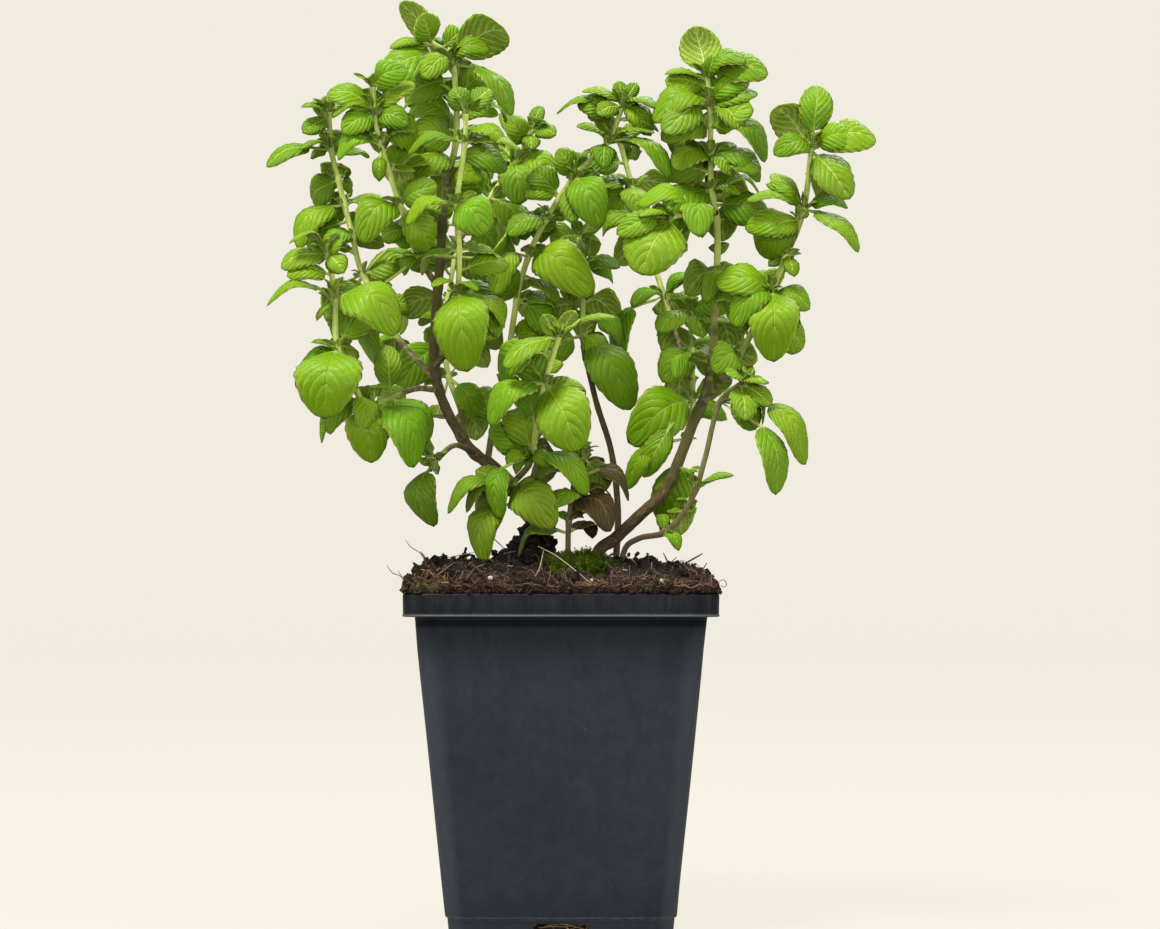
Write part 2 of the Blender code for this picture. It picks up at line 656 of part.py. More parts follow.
def settle_leaves(leaves, solids):
    """Bends each leaf clear of the other shoots and of the solids, the widest leaves first."""
    placed = []
    settled = []
    for leaf in sorted(leaves, key=lambda item: -item["width"]):
        others = [tree for owner, tree in solids if owner != leaf["shoot"]]
        others += [tree for owner, tree in placed if owner != leaf["shoot"]]
        for swing in SWINGS:
            tip, face = swung(leaf, swing)
            points, triangles = leaf_surface(leaf["root"], tip, leaf["width"], face)
            test = shell_tree(points, triangles, BLADE / 2 + CLEARANCE)
            if not any(test.overlap(tree) for tree in others):
                placed.append((leaf["shoot"], shell_tree(points, triangles, BLADE / 2)))
                settled.append(dict(leaf, points=points, triangles=triangles))
                break
        else:
            print("no room for a leaf of", leaf["shoot"], [round(c) for c in leaf["tip"]])
    print(len(settled), "leaves of", len(leaves))
    return settled


def add_blade(name, leaf, collection):
    mesh = bpy.data.meshes.new(name)
    mesh.from_pydata([tuple(p * MM) for p in leaf["points"]], [], leaf["triangles"])
    item = add_object(name, mesh, collection)
    thicken = item.modifiers.new("thickness", "SOLIDIFY")
    thicken.thickness = BLADE * MM
    thicken.offset = 0.0
    return item


def rounded_square(half, corner, z):
    """The points of a square with round corners, counter-clockwise."""
    points = []
    for quarter in range(4):
        for k in range(CORNER_STEPS + 1):
            angle = math.radians(90) * (quarter + k / CORNER_STEPS)
            middle = math.radians(90) * (quarter + 0.5)
            centre = (half - corner) * math.sqrt(2)
            x = centre * math.cos(middle) + corner * math.cos(angle)
            y = centre * math.sin(middle) + corner * math.sin(angle)
            points.append(Vector((x, y, z)) * MM)
    return points


def loft(rings, cap_first, cap_last):
    """A mesh through rings of equal count, listed upwards on the outside."""
    bm = bmesh.new()
    loops = [[bm.verts.new(point) for point in ring] for ring in rings]
    count = len(loops[0])
    for low, high in zip(loops, loops[1:]):
        for k in range(count):
            n = (k + 1) % count
            bm.faces.new((low[k], low[n], high[n], high[k]))
    if cap_first:
        bm.faces.new(loops[0][::-1])
    if cap_last:
        bm.faces.new(loops[-1])
    return bm


def finish_mesh(bm, name):
    mesh = bpy.data.meshes.new(name)
    bm.to_mesh(mesh)
    bm.free()
    mesh.shade_smooth()
    mesh.set_sharp_from_angle(angle=math.radians(35))
    return mesh


def body_half(z):
    """Half of the pot's outer width at a height."""
    return BODY_HALF_BOTTOM + (BODY_HALF_TOP - BODY_HALF_BOTTOM) * z / RIM_TOP


def make_pot(parts, cutters, material):
    half_wall = WALL / 2
    mid_top = RIM_TOP - half_wall
    skirt = RIM_HALF - half_wall
    corner = BODY_CORNER - half_wall
    rings = [
        rounded_square(body_half(0) - FOOT_INSET - half_wall, corner, half_wall),
        rounded_square(body_half(FOOT_HEIGHT) - FOOT_INSET - half_wall, corner, FOOT_HEIGHT),
        rounded_square(body_half(FOOT_HEIGHT) - half_wall, corner, FOOT_HEIGHT + FOOT_INSET),
        rounded_square(body_half(mid_top) - half_wall, corner, mid_top),
        rounded_square(skirt, RIM_CORNER - half_wall, mid_top),
        rounded_square(skirt, RIM_CORNER - half_wall, RIM_TOP - RIM_HEIGHT),
    ]
    pot = add_object("pot", finish_mesh(loft(rings, True, False), "pot"), parts, material)
    thicken = pot.modifiers.new("wall", "SOLIDIFY")
    thicken.thickness = WALL * MM
    thicken.offset = 0.0
    thicken.use_even_offset = True
    for quarter in range(4):
        turn = Matrix.Rotation(math.radians(90) * quarter, 4, "Z")
        bm = bmesh.new()
        bmesh.ops.create_cube(bm, size=1.0)
        size = (DRAIN_WIDTH * MM, 2 * DRAIN_REACH * MM, 2 * DRAIN_HEIGHT * MM)
        bmesh.ops.scale(bm, vec=size, verts=bm.verts)
        bmesh.ops.translate(bm, vec=(0, -body_half(0) * MM, 0), verts=bm.verts)
        bmesh.ops.transform(bm, matrix=turn, verts=bm.verts)
        mesh = bpy.data.meshes.new("drain_slot")
        bm.to_mesh(mesh)
        bm.free()
        cutter = add_object(f"drain_slot_{quarter}", mesh, cutters)
        hide_cutter(cutter)
        cut = pot.modifiers.new("drain", "BOOLEAN")
        cut.operation = "DIFFERENCE"
        cut.object = cutter
    return pot


def hide_cutter(cutter):
    cutter.display_type = "WIRE"
    cutter.hide_render = True


def soil_height(x, y):
    """The height of the soil in millimetres: a crumbly mound with a clump at the left stem.
    It rises steeply at the left and right, and gently at the front and back."""
    swell = (1 - abs(x / SOIL_HALF) ** 7) * (1 - abs(y / SOIL_HALF) ** 2.4)
    mound = SOIL_EDGE + (SOIL_CROWN - SOIL_EDGE) * swell
    away = math.dist((x, y), CLUMP_CENTRE) / CLUMP_RADIUS
    clump = CLUMP_HEIGHT * math.exp(-away ** 2)
    rough = noise.noise(Vector((x * 0.24, y * 0.24, 1.7))) * 2.4
    fine = noise.noise(Vector((x * 0.9, y * 0.9, 5.1))) * 1.6
    at_edge = max(abs(x), abs(y)) > 0.99 * SOIL_HALF
    return mound + clump + (rough + fine) * (0.4 if at_edge else 1.0)


def soil_ring(share):
    """A ring of the soil's top, with points along its sides as well as at its corners."""
    half = SOIL_HALF * share
    corner = SOIL_CORNER * share
    outline = []
    for quarter in range(4):
        turn = Matrix.Rotation(math.radians(90) * quarter, 3, "Z")
        for k in range(SOIL_SIDE_STEPS):
            along = (k + 0.5) / SOIL_SIDE_STEPS * 2 - 1
            point = Vector((half, half * along, 0))
            over = abs(point.y) - (half - corner)
            if over > 0:
                point.x -= corner - math.sqrt(max(corner ** 2 - over ** 2, 0))
            outline.append(turn @ point)
    return outline


def make_soil(parts, material):
    inner_top = body_half(RIM_TOP) - WALL - GAP
    inner_low = body_half(FOOT_HEIGHT) - FOOT_INSET - WALL - GAP
    inner_base = body_half(0) - FOOT_INSET - WALL - GAP
    corner = BODY_CORNER - WALL

    def level(half, z):
        return [Vector((p.x, p.y, z)) * MM for p in squeeze(soil_ring(1.0), half, corner)]

    def squeeze(ring, half, radius):
        shrunk = []
        for p in ring:
            q = p * (half / SOIL_HALF)
            over_x, over_y = abs(q.x) - (half - radius), abs(q.y) - (half - radius)
            if over_x > 0 and over_y > 0:
                reach = math.hypot(over_x, over_y)
                if reach > radius:
                    q.x -= math.copysign(over_x * (1 - radius / reach), q.x)
                    q.y -= math.copysign(over_y * (1 - radius / reach), q.y)
            shrunk.append(q)
        return shrunk

    rings = [
        level(inner_base, WALL + GAP),
        level(inner_low, FOOT_HEIGHT + GAP),
        level(inner_top, RIM_TOP + GAP),
        level(SOIL_HALF, RIM_TOP + GAP),
    ]
    for share in SOIL_RINGS:
        rings.append([Vector((p.x, p.y, soil_height(p.x, p.y))) * MM for p in soil_ring(share)])
    bm = loft(rings, True, True)
    bmesh.ops.triangulate(bm, faces=bm.faces)
    return add_object("soil", finish_mesh(bm, "soil"), parts, material)


def make_moss(parts, soil, material):
    """A bumpy cushion that follows the soil under it."""
    ground = mesh_tree(soil)
    bm = bmesh.new()
    bmesh.ops.create_grid(bm, x_segments=MOSS_CELLS[0], y_segments=MOSS_CELLS[1], size=1.0)
    for vert in bm.verts:
        x, y = vert.co.x, vert.co.y
        stretch = max(abs(x), abs(y)) / max(math.hypot(x, y), 1e-6)
        ragged = 1 + MOSS_RAGGED * noise.noise(Vector((x * 2, y * 2, 9.0)))
        vert.co.x = MOSS_CENTRE[0] + MOSS_HALF[0] * x * stretch * ragged
        vert.co.y = MOSS_CENTRE[1] + MOSS_HALF[1] * y * stretch * ragged
        hit = ground.ray_cast(Vector((vert.co.x, vert.co.y, 200.0)), Vector((0, 0, -1)))[0]
        vert.co.z = hit.z + MOSS_LIFT
        vert.co *= MM
    bmesh.ops.triangulate(bm, faces=bm.faces)
    moss = add_object("moss", finish_mesh(bm, "moss"), parts, material)
    thicken = moss.modifiers.new("thickness", "SOLIDIFY")
    thicken.thickness = MOSS_THICK * MM
    thicken.offset = 1.0
    return moss


def join_all(item, collection, operation="UNION"):
    """Joins every object of a collection to the item, or cuts them from it, in one Boolean."""
    fuse = item.modifiers.new("join", "BOOLEAN")
    fuse.operation = operation
    fuse.operand_type = "COLLECTION"
    fuse.collection = collection
    fuse.solver = "MANIFOLD"
    bake_modifiers(item)
    for part in list(collection.objects):
        bpy.data.objects.remove(part, do_unlink=True)


def connected_shells(bm):
    """The sets of vertices that hang together, smallest first."""
    left = set(bm.verts)
    shells = []
    while left:
        stack = [left.pop()]
        shell = set(stack)
        while stack:
            for edge in stack.pop().link_edges:
                for vert in edge.verts:
                    if vert not in shell:
                        shell.add(vert)
                        stack.append(vert)
        left -= shell
        shells.append(shell)
    return sorted(shells, key=len)


def keep_main_shell(item):
    """Welds slivers where the mesh stays closed, and drops scraps and the walls of sealed hollows."""
    for weld in WELDS:
        bm = bmesh.new()
        bm.from_mesh(item.data)
        if weld:
            bmesh.ops.remove_doubles(bm, verts=bm.verts, dist=weld * MM)
            bmesh.ops.triangulate(bm, faces=bm.faces)
        for shell in connected_shells(bm)[:-1]:
            bmesh.ops.delete(bm, geom=list(shell), context="VERTS")
        if all(edge.is_manifold and edge.is_contiguous for edge in bm.edges):
            bm.to_mesh(item.data)
            bm.free()
            return
        bm.free()
    print(item.name, "isn't closed after joining")


def round_shading(item, degrees):
    item.data.shade_smooth()
    item.data.set_sharp_from_angle(angle=math.radians(degrees))


def build():
    clear_scene()
    parts = make_collection("potted_calamint")
    cutters = make_collection("cutters")
    work = make_collection("work")
    materials = {name: make_material(name) for name in COLOURS}

    make_pot(parts, cutters, materials["pot_plastic"])
    soil = make_soil(parts, materials["peat"])

    routes = {}
    girths = {}
    for name, spec in (WOODY | SHOOTS).items():
        places = [seen(*node[:3]) for node in spec["route"]]
        routes[name] = smooth_route(places, ROUTE_STEP)
        girths[name] = spec["girth"]

    stems = {}
    for name in WOODY:
        stems[name] = make_tube(name, routes[name], girths[name], 2, parts, materials["woody_stem"])
        round_shading(stems[name], 60)
    for name, spec in SHOOTS.items():
        stems[name] = make_tube(name, routes[name], girths[name], 0, parts, materials[spec["leaf"]])

    rooted = list(WOODY) + [name for name, spec in SHOOTS.items() if spec["carrier"] is None]
    for name in rooted:
        make_tube(name + "_hole", routes[name], girths[name], 1, work, extra=2 * GAP)
    join_all(soil, work, "DIFFERENCE")
    make_moss(parts, soil, materials["moss"])

    solids = [(name, mesh_tree(stem)) for name, stem in stems.items()]
    solids.append(("soil", mesh_tree(soil)))
    leaves = [leaf for name in SHOOTS for leaf in shoot_leaves(name, routes[name])]
    settled = settle_leaves(leaves, solids)

    for name, spec in SHOOTS.items():
        own = [leaf for leaf in settled if leaf["shoot"] == name]
        for k, leaf in enumerate(own):
            add_blade(f"{name}_leaf_{k}", leaf, work)
        join_all(stems[name], work)
        if spec["carrier"]:
            carrier = spec["carrier"]
            resolution = 2 if carrier in WOODY else 0
            make_tube(name + "_seat", routes[carrier], girths[carrier], resolution, work, extra=GAP)
            join_all(stems[name], work, "DIFFERENCE")
        keep_main_shell(stems[name])
        round_shading(stems[name], 40)
        print(name, len(own), "leaves")
    bpy.data.collections.remove(work)


build()
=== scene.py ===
# %% [markdown]
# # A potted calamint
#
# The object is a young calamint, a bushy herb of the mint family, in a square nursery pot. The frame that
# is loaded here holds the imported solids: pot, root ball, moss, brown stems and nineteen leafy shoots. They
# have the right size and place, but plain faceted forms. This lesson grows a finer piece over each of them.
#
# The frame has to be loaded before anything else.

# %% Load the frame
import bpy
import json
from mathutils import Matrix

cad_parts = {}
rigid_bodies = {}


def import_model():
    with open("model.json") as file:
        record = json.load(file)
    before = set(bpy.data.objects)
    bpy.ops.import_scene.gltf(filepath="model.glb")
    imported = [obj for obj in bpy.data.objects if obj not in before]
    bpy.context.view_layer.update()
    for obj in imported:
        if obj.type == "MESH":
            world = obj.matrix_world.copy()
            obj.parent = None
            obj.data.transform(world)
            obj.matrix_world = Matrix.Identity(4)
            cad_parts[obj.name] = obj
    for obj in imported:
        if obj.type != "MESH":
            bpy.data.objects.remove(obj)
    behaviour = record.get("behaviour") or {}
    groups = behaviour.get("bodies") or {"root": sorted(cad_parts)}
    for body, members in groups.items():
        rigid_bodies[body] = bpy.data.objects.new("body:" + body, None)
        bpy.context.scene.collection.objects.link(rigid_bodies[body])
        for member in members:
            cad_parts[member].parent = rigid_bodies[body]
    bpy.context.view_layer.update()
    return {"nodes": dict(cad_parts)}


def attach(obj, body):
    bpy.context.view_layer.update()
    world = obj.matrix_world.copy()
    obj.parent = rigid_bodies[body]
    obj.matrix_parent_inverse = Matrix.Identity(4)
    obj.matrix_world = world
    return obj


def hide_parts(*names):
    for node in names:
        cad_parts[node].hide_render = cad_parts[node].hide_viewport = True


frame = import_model()
solids = frame["nodes"]

# %% Modules and units
import json
import math
import random
from functools import partialmethod

import bmesh
import bpy
from mathutils import Matrix, Vector, noise
from mathutils.bvhtree import BVHTree

MM = 0.001
scene = bpy.context.scene

# %% [markdown]
# ## Camera, floor and light
#
# The photo was taken level with the pot's rim, from a bit under a metre away: the rim shows as a straight
# line, and the foot's corners sit a little higher than the middle of its front. A level camera with a long
# lens and a small shift gives that view. The floor curves up into a backdrop, so there is no horizon line,
# and large soft lamps with a bright sky keep the shadows pale.

# %% Camera
PHOTO_WIDTH, PHOTO_HEIGHT = 1160, 929
AXIS_COLUMN, RIM_ROW = 561, 557.6
camera_data = bpy.data.cameras.new("camera")
camera = bpy.data.objects.new("camera", camera_data)
scene.collection.objects.link(camera)
camera.location = (0.0, -0.95, 0.108)
camera.rotation_euler = (math.radians(90), 0.0, 0.0)
camera_data.sensor_width = 36.0
camera_data.lens = 99.8
camera_data.shift_x = (PHOTO_WIDTH / 2 - AXIS_COLUMN) / PHOTO_WIDTH
camera_data.shift_y = (RIM_ROW - PHOTO_HEIGHT / 2) / PHOTO_WIDTH
camera_data.clip_start = 0.01
scene.camera = camera
scene.view_settings.view_transform = "Standard"
print("camera at rim height,", round(camera_data.lens, 1), "mm lens")

# %% Floor that curves up into a backdrop
FLOOR_FLAT, FLOOR_REACH, FLOOR_RISE = 2.6, 3.6, 1.3
FLOOR_TURNS, CURVE_STEPS = 96, 12
curve = [math.radians(90) * k / CURVE_STEPS for k in range(1, CURVE_STEPS + 1)]
floor_rings = [0.5, 1.2, 2.0, FLOOR_FLAT] + [
    FLOOR_FLAT + (FLOOR_REACH - FLOOR_FLAT) * math.sin(angle) for angle in curve
]
floor_heights = [0.0] * 4 + [FLOOR_RISE * (1 - math.cos(angle)) for angle in curve]


def plain_mesh(name, points, faces=(), edges=()):
    mesh = bpy.data.meshes.new(name)
    mesh.from_pydata([tuple(point) for point in points], list(edges), list(faces))
    return mesh


floor_points, floor_faces = [(0.0, 0.0, 0.0)], []
for ring, (radius, height) in enumerate(zip(floor_rings, floor_heights)):
    for k in range(FLOOR_TURNS):
        turn = math.tau * k / FLOOR_TURNS
        floor_points.append((radius * math.cos(turn), radius * math.sin(turn), height))
        here, beside = (1 + ring * FLOOR_TURNS + step % FLOOR_TURNS for step in (k, k + 1))
        inner = (beside - FLOOR_TURNS, here - FLOOR_TURNS) if ring else (0,)
        floor_faces.append((here, beside, *inner))
floor_data = plain_mesh("floor", floor_points, floor_faces)
floor_data.shade_smooth()
floor = bpy.data.objects.new("floor", floor_data)
scene.collection.objects.link(floor)

# %% Sky and lamps
PAPER = (0.888, 0.847, 0.752)
PLANT = Vector((0.0, 0.0, 0.17))
world = bpy.data.worlds.new("sky")
world.use_nodes = True
scene.world = world
sky = world.node_tree.nodes["Background"]
sky.inputs["Color"].default_value = (1.0, 0.985, 0.955, 1.0)
sky.inputs["Strength"].default_value = 0.33


def lamp(name, place, width, height, power):
    """A large soft lamp that looks at the plant."""
    data = bpy.data.lights.new(name, "AREA")
    data.shape = "RECTANGLE"
    data.size, data.size_y = width, height
    data.energy = power
    item = bpy.data.objects.new(name, data)
    scene.collection.objects.link(item)
    item.location = place
    item.rotation_euler = (Vector(place) - PLANT).to_track_quat("Z", "Y").to_euler()


lamp("key_lamp", (-0.6, -0.68, 1.95), 0.58, 0.58, 70.0)
lamp("fill_lamp", (1.15, -0.45, 0.3), 0.4, 0.9, 9.5)
lamp("side_lamp", (-1.15, -0.4, 0.25), 0.4, 0.9, 8.0)
lamp("front_lamp", (0.1, -1.25, 0.28), 0.7, 0.4, 7.5)
lamp("back_lamp", (0.35, 0.8, 1.2), 0.6, 0.6, 10.0)
print("floor", round(2 * FLOOR_REACH, 1), "m across, lit by a pale sky and five soft lamps")

# %% [markdown]
# ## Writing node trees as arithmetic
#
# Leaves, crumbs and hairs are made by Geometry Nodes, and every finish is a shader tree. Both kinds of tree
# are mostly sums. A small class turns a socket into something that +, *, ** and a few named functions can
# be written with, and each of them adds one node. That keeps a formula in the script as readable as on
# paper.

# %% Fields
def is_vector(value):
    if isinstance(value, Field):
        return value.socket.type == "VECTOR"
    return isinstance(value, (tuple, Vector))


def feed(socket, value):
    """Links a field or a socket to an input, or sets the input to a plain value."""
    if isinstance(value, Field):
        value = value.socket
    if isinstance(value, bpy.types.NodeSocket):
        value.id_data.links.new(value, socket)
    else:
        socket.default_value = value


class Field:
    """A number or a vector that flows through a node tree."""

    def __init__(self, socket):
        self.socket = socket
        self.tree = socket.id_data

    def apply(self, operation, *values):
        kind = "ShaderNodeVectorMath" if any(is_vector(value) for value in values) else "ShaderNodeMath"
        node = self.tree.nodes.new(kind)
        node.operation = operation
        for socket, value in zip(node.inputs, values):
            feed(socket, value)
        return Field(next(out for out in node.outputs if out.enabled))

    def applied(self, operation, *others):
        return self.apply(operation, self, *others)

    def __rsub__(self, other):
        return self.apply("SUBTRACT", other, self)

    def __mul__(self, other):
        if is_vector(self) == is_vector(other):
            return self.apply("MULTIPLY", self, other)
        vector, number = (self, other) if is_vector(self) else (other, self)
        node = self.tree.nodes.new("ShaderNodeVectorMath")
        node.operation = "SCALE"
        feed(node.inputs["Vector"], vector)
        feed(node.inputs["Scale"], number)
        return Field(node.outputs["Vector"])

    def ramp(self, low, high, start=0.0, end=1.0):
        """Start below low, end above high, and a smooth slope between them."""
        node = self.tree.nodes.new("ShaderNodeMapRange")
        node.interpolation_type = "SMOOTHSTEP"
        for socket, value in zip(node.inputs, (self, low, high, start, end)):
            feed(socket, value)
        return Field(node.outputs["Result"])

    __add__ = __radd__ = partialmethod(applied, "ADD")
    __sub__ = partialmethod(applied, "SUBTRACT")
    __rmul__ = __mul__
    __truediv__ = partialmethod(applied, "DIVIDE")
    __pow__ = partialmethod(applied, "POWER")
    __abs__ = partialmethod(applied, "ABSOLUTE")
    dot = partialmethod(applied, "DOT_PRODUCT")
    cross = partialmethod(applied, "CROSS_PRODUCT")
    length = partialmethod(applied, "LENGTH")
    unit = partialmethod(applied, "NORMALIZE")
    sin = partialmethod(applied, "SINE")
    exp = partialmethod(applied, "EXPONENT")
    fraction = partialmethod(applied, "FRACT")
    least = partialmethod(applied, "MINIMUM")
    most = partialmethod(applied, "MAXIMUM")
    above = partialmethod(applied, "GREATER_THAN")


# %% Trees
def add(tree, kind, feeds=None, **settings):
    """Adds a node, with its settings and its inputs by name."""
    node = tree.nodes.new(kind)
    for name, value in settings.items():
        setattr(node, name, value)
    for name, value in (feeds or {}).items():
        feed(node.inputs[name], value)
    return node


def new_tree(name, kind, inputs, outputs):
    """A tree with named inputs (label, type, value) and outputs (label, type)."""
    tree = bpy.data.node_groups.new(name, kind)
    for label, socket_type, *value in inputs:
        item = tree.interface.new_socket(label, in_out="INPUT", socket_type="NodeSocket" + socket_type)
        if value:
            item.default_value = value[0]
    for label, socket_type in outputs:
        tree.interface.new_socket(label, in_out="OUTPUT", socket_type="NodeSocket" + socket_type)
    start = tree.nodes.new("NodeGroupInput")
    end = tree.nodes.new("NodeGroupOutput")
    given = {socket.name: Field(socket) for socket in start.outputs if socket.name}
    return tree, given, end


def geometry_tree(name, *inputs):
    """A geometry tree: a geometry goes in with the other named inputs, and a geometry comes out."""
    return new_tree(name, "GeometryNodeTree", [("Geometry", "Geometry"), *inputs], [("Geometry", "Geometry")])


def through(tree, kind, geometry, **feeds):
    """Sends a geometry through one node, and returns what comes out."""
    node = add(tree, "GeometryNode" + kind, {name.replace("_", " "): value for name, value in feeds.items()})
    feed(node.inputs[0], geometry)
    return node.outputs[0]


def dress(tree, end, geometry, finish):
    """Ends a tree: its copies become real faces, and they get their finish."""
    whole = through(tree, "RealizeInstances", geometry)
    feed(end.inputs["Geometry"], through(tree, "SetMaterial", whole, Material=finish))


def axes(tree, vector):
    split = add(tree, "ShaderNodeSeparateXYZ", {"Vector": vector})
    return [Field(out) for out in split.outputs]


def random_value(tree, seed, low, high):
    """A random number or vector between two bounds, another one at each point."""
    kind = "FLOAT_VECTOR" if is_vector(low) else "FLOAT"
    node = add(tree, "FunctionNodeRandomValue", {"Seed": seed, "Min": low, "Max": high}, data_type=kind)
    return Field(node.outputs["Value"])


def leaned(tree, rotation, seed, lean):
    """An upright, tipped a little any way and turned round at random, for hairs and sprigs."""
    turn = random_value(tree, seed, (-lean, -lean, -3.1), (lean, lean, 3.1))
    feeds = {"Rotation": rotation, "Rotate By": turn}
    return add(tree, "FunctionNodeRotateRotation", feeds, rotation_space="LOCAL").outputs["Rotation"]


def named(tree, *names, kind="FLOAT"):
    """The values stored on the geometry's points under names: one field, or a list of them."""
    nodes = [add(tree, "GeometryNodeInputNamedAttribute", {"Name": name}, data_type=kind) for name in names]
    fields = [Field(node.outputs["Attribute"]) for node in nodes]
    return fields if len(fields) > 1 else fields[0]


def store(tree, geometry, name, value, kind="FLOAT", domain="POINT"):
    feeds = {"Geometry": geometry, "Name": name, "Value": value}
    node = add(tree, "GeometryNodeStoreNamedAttribute", feeds, data_type=kind, domain=domain)
    return node.outputs["Geometry"]


def join(tree, *parts):
    node = tree.nodes.new("GeometryNodeJoinGeometry")
    for part in parts:
        feed(node.inputs[0], part)
    return node.outputs[0]


def grow(tree, mesh, values, keep=()):
    """Runs a geometry tree on a mesh, and returns the plain mesh that comes out with only the named
    attributes that the finishes read."""
    seed = bpy.data.objects.new("seed", mesh)
    scene.collection.objects.link(seed)
    modifier = seed.modifiers.new("grow", "NODES")
    modifier.node_group = tree
    for item in tree.interface.items_tree:
        if item.in_out == "INPUT" and item.name in values:
            modifier[item.identifier] = values[item.name]
    bpy.context.view_layer.update()
    evaluated = seed.evaluated_get(bpy.context.evaluated_depsgraph_get())
    grown = bpy.data.meshes.new_from_object(evaluated)
    bpy.data.objects.remove(seed, do_unlink=True)
    kept = {"material_index", "sharp_face", "sharp_edge", *keep}
    for label in [layer.name for layer in grown.attributes]:
        layer = grown.attributes[label]
        if not layer.is_internal and not layer.is_required and label not in kept:
            grown.attributes.remove(layer)
    indices = [face.material_index for face in grown.polygons]
    finishes = list(grown.materials)
    used = sorted(set(indices))
    grown.materials.clear()
    for k in used:
        grown.materials.append(finishes[k] if finishes else None)
    grown.polygons.foreach_set("material_index", [used.index(k) for k in indices])
    return grown


def piece(name, mesh, slot, *replaced):
    """Puts a finished mesh in the scene as a piece of the object."""
    item = bpy.data.objects.new(name, mesh)
    mesh.name = name
    scene.collection.objects.link(item)
    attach(item, "root")
    if replaced:
        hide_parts(*replaced)
    count = sum(len(face.vertices) - 2 for face in mesh.polygons)
    print(f"{name}: {count} triangles")


def set_values(mesh, name, kind, values):
    """Stores one value a point under a name: a number, a whole number or a vector."""
    layer = mesh.attributes.new(name, kind, "POINT")
    if kind == "FLOAT_VECTOR":
        layer.data.foreach_set("vector", [part for value in values for part in value])
    else:
        layer.data.foreach_set("value", values)

# %% [markdown]
# ## Effects that several finishes share
#
# Peat, bark, plastic and leaves all have patches that are lighter or darker at several sizes at once, and
# fine grit. Each effect is built once as a node group that puts out plain values, and each finish places it
# with its own sizes. The patterns read the object's own coordinates, in metres, so they stay put on every
# piece.

# %% Mottling and grit
def object_place(tree):
    return Field(add(tree, "ShaderNodeTexCoord").outputs["Object"])


def mottle_group():
    inputs = [("Scale", "Float", 100.0), ("Stretch", "Vector", (1.0, 1.0, 1.0)), ("Seed", "Float", 0.0)]
    outputs = [("Patches", "Float"), ("Fine", "Float")]
    tree, given, end = new_tree("mottling", "ShaderNodeTree", inputs, outputs)
    shifted = object_place(tree) * given["Stretch"] + given["Seed"]
    coarse = add(tree, "ShaderNodeTexNoise", {"Vector": shifted, "Scale": given["Scale"], "Detail": 3.0})
    fine_scale = given["Scale"] * 6.0
    fine = add(tree, "ShaderNodeTexNoise", {"Vector": shifted, "Scale": fine_scale, "Detail": 4.0})
    feed(end.inputs["Patches"], Field(coarse.outputs["Fac"]).ramp(0.3, 0.7))
    feed(end.inputs["Fine"], Field(fine.outputs["Fac"]).ramp(0.25, 0.75))
    return tree


def grit_group():
    inputs = [("Scale", "Float", 900.0), ("Amount", "Float", 0.1), ("Size", "Float", 0.3)]
    tree, given, end = new_tree("grit", "ShaderNodeTree", inputs, [("Specks", "Float"), ("Shade", "Float")])
    cells = add(tree, "ShaderNodeTexVoronoi", {"Vector": object_place(tree), "Scale": given["Scale"]})
    tint = add(tree, "ShaderNodeSeparateColor", {"Color": cells.outputs["Color"]})
    chosen = Field(tint.outputs["Red"]).above(1.0 - given["Amount"])
    near = given["Size"] - Field(cells.outputs["Distance"])
    feed(end.inputs["Specks"], near.ramp(0.0, 0.08) * chosen)
    feed(end.inputs["Shade"], Field(tint.outputs["Green"]))
    return tree


mottling = mottle_group()
grit = grit_group()
print("shared effects:", mottling.name, "and", grit.name)


# %% Helpers for finishes
def use(tree, group, **values):
    """Places a node group in a material; returns its outputs by name."""
    node = add(tree, "ShaderNodeGroup", node_tree=group)
    for name, value in values.items():
        feed(node.inputs[name.replace("_", " ")], value)
    return {out.name: Field(out) for out in node.outputs}


def mix(tree, factor, first, second):
    """A colour between two, by a factor from 0 to 1. A colour is (r, g, b) or another mix."""
    node = add(tree, "ShaderNodeMix", data_type="RGBA")
    feed(node.inputs["Factor"], factor)
    for socket, colour in ((node.inputs[6], first), (node.inputs[7], second)):
        feed(socket, (*colour, 1.0) if isinstance(colour, tuple) else colour)
    return node.outputs[2]


def shade(colour, amount):
    return tuple(part * amount for part in colour)


def layers(tree, base, *coats):
    """Lays colours over a base, each as strong as its mask."""
    for mask, colour in coats:
        base = mix(tree, mask, base, colour)
    return base


def drawn(tree, *names):
    """The values stored on the mesh's points, as a finish reads them: one field, or a list of them."""
    fields = [Field(add(tree, "ShaderNodeAttribute", attribute_name=name).outputs["Fac"]) for name in names]
    return fields if len(fields) > 1 else fields[0]


def new_finish(name, **constants):
    """A material with an empty Principled shader; constants are set on its own sockets."""
    material = bpy.data.materials.new(name)
    material.use_nodes = True
    shader = material.node_tree.nodes["Principled BSDF"]
    for label, value in constants.items():
        shader.inputs[label.replace("_", " ")].default_value = value
    return material, material.node_tree, shader


def paint(tree, shader, colour, roughness, height, depth):
    """Gives a shader its colour, its roughness and a bump; depth is in metres."""
    feed(shader.inputs["Base Color"], colour)
    feed(shader.inputs["Roughness"], roughness)
    node = add(tree, "ShaderNodeBump", {"Height": height, "Distance": depth, "Strength": 1.0})
    feed(shader.inputs["Normal"], node.outputs["Normal"])

# %% [markdown]
# ## The pot
#
# The real pot is thin blue-black plastic, pressed in a mould: straight tapering walls with rounded corners,
# a rim that turns down with an open groove behind it, a stepped foot, and a drain slot low on each side.
# Its section is a single line that runs down the inside, over the rim and back under the base, so one loft
# of rounded squares makes it, and four boxes cut the slots. Small fillets catch the light along the rim and
# foot.

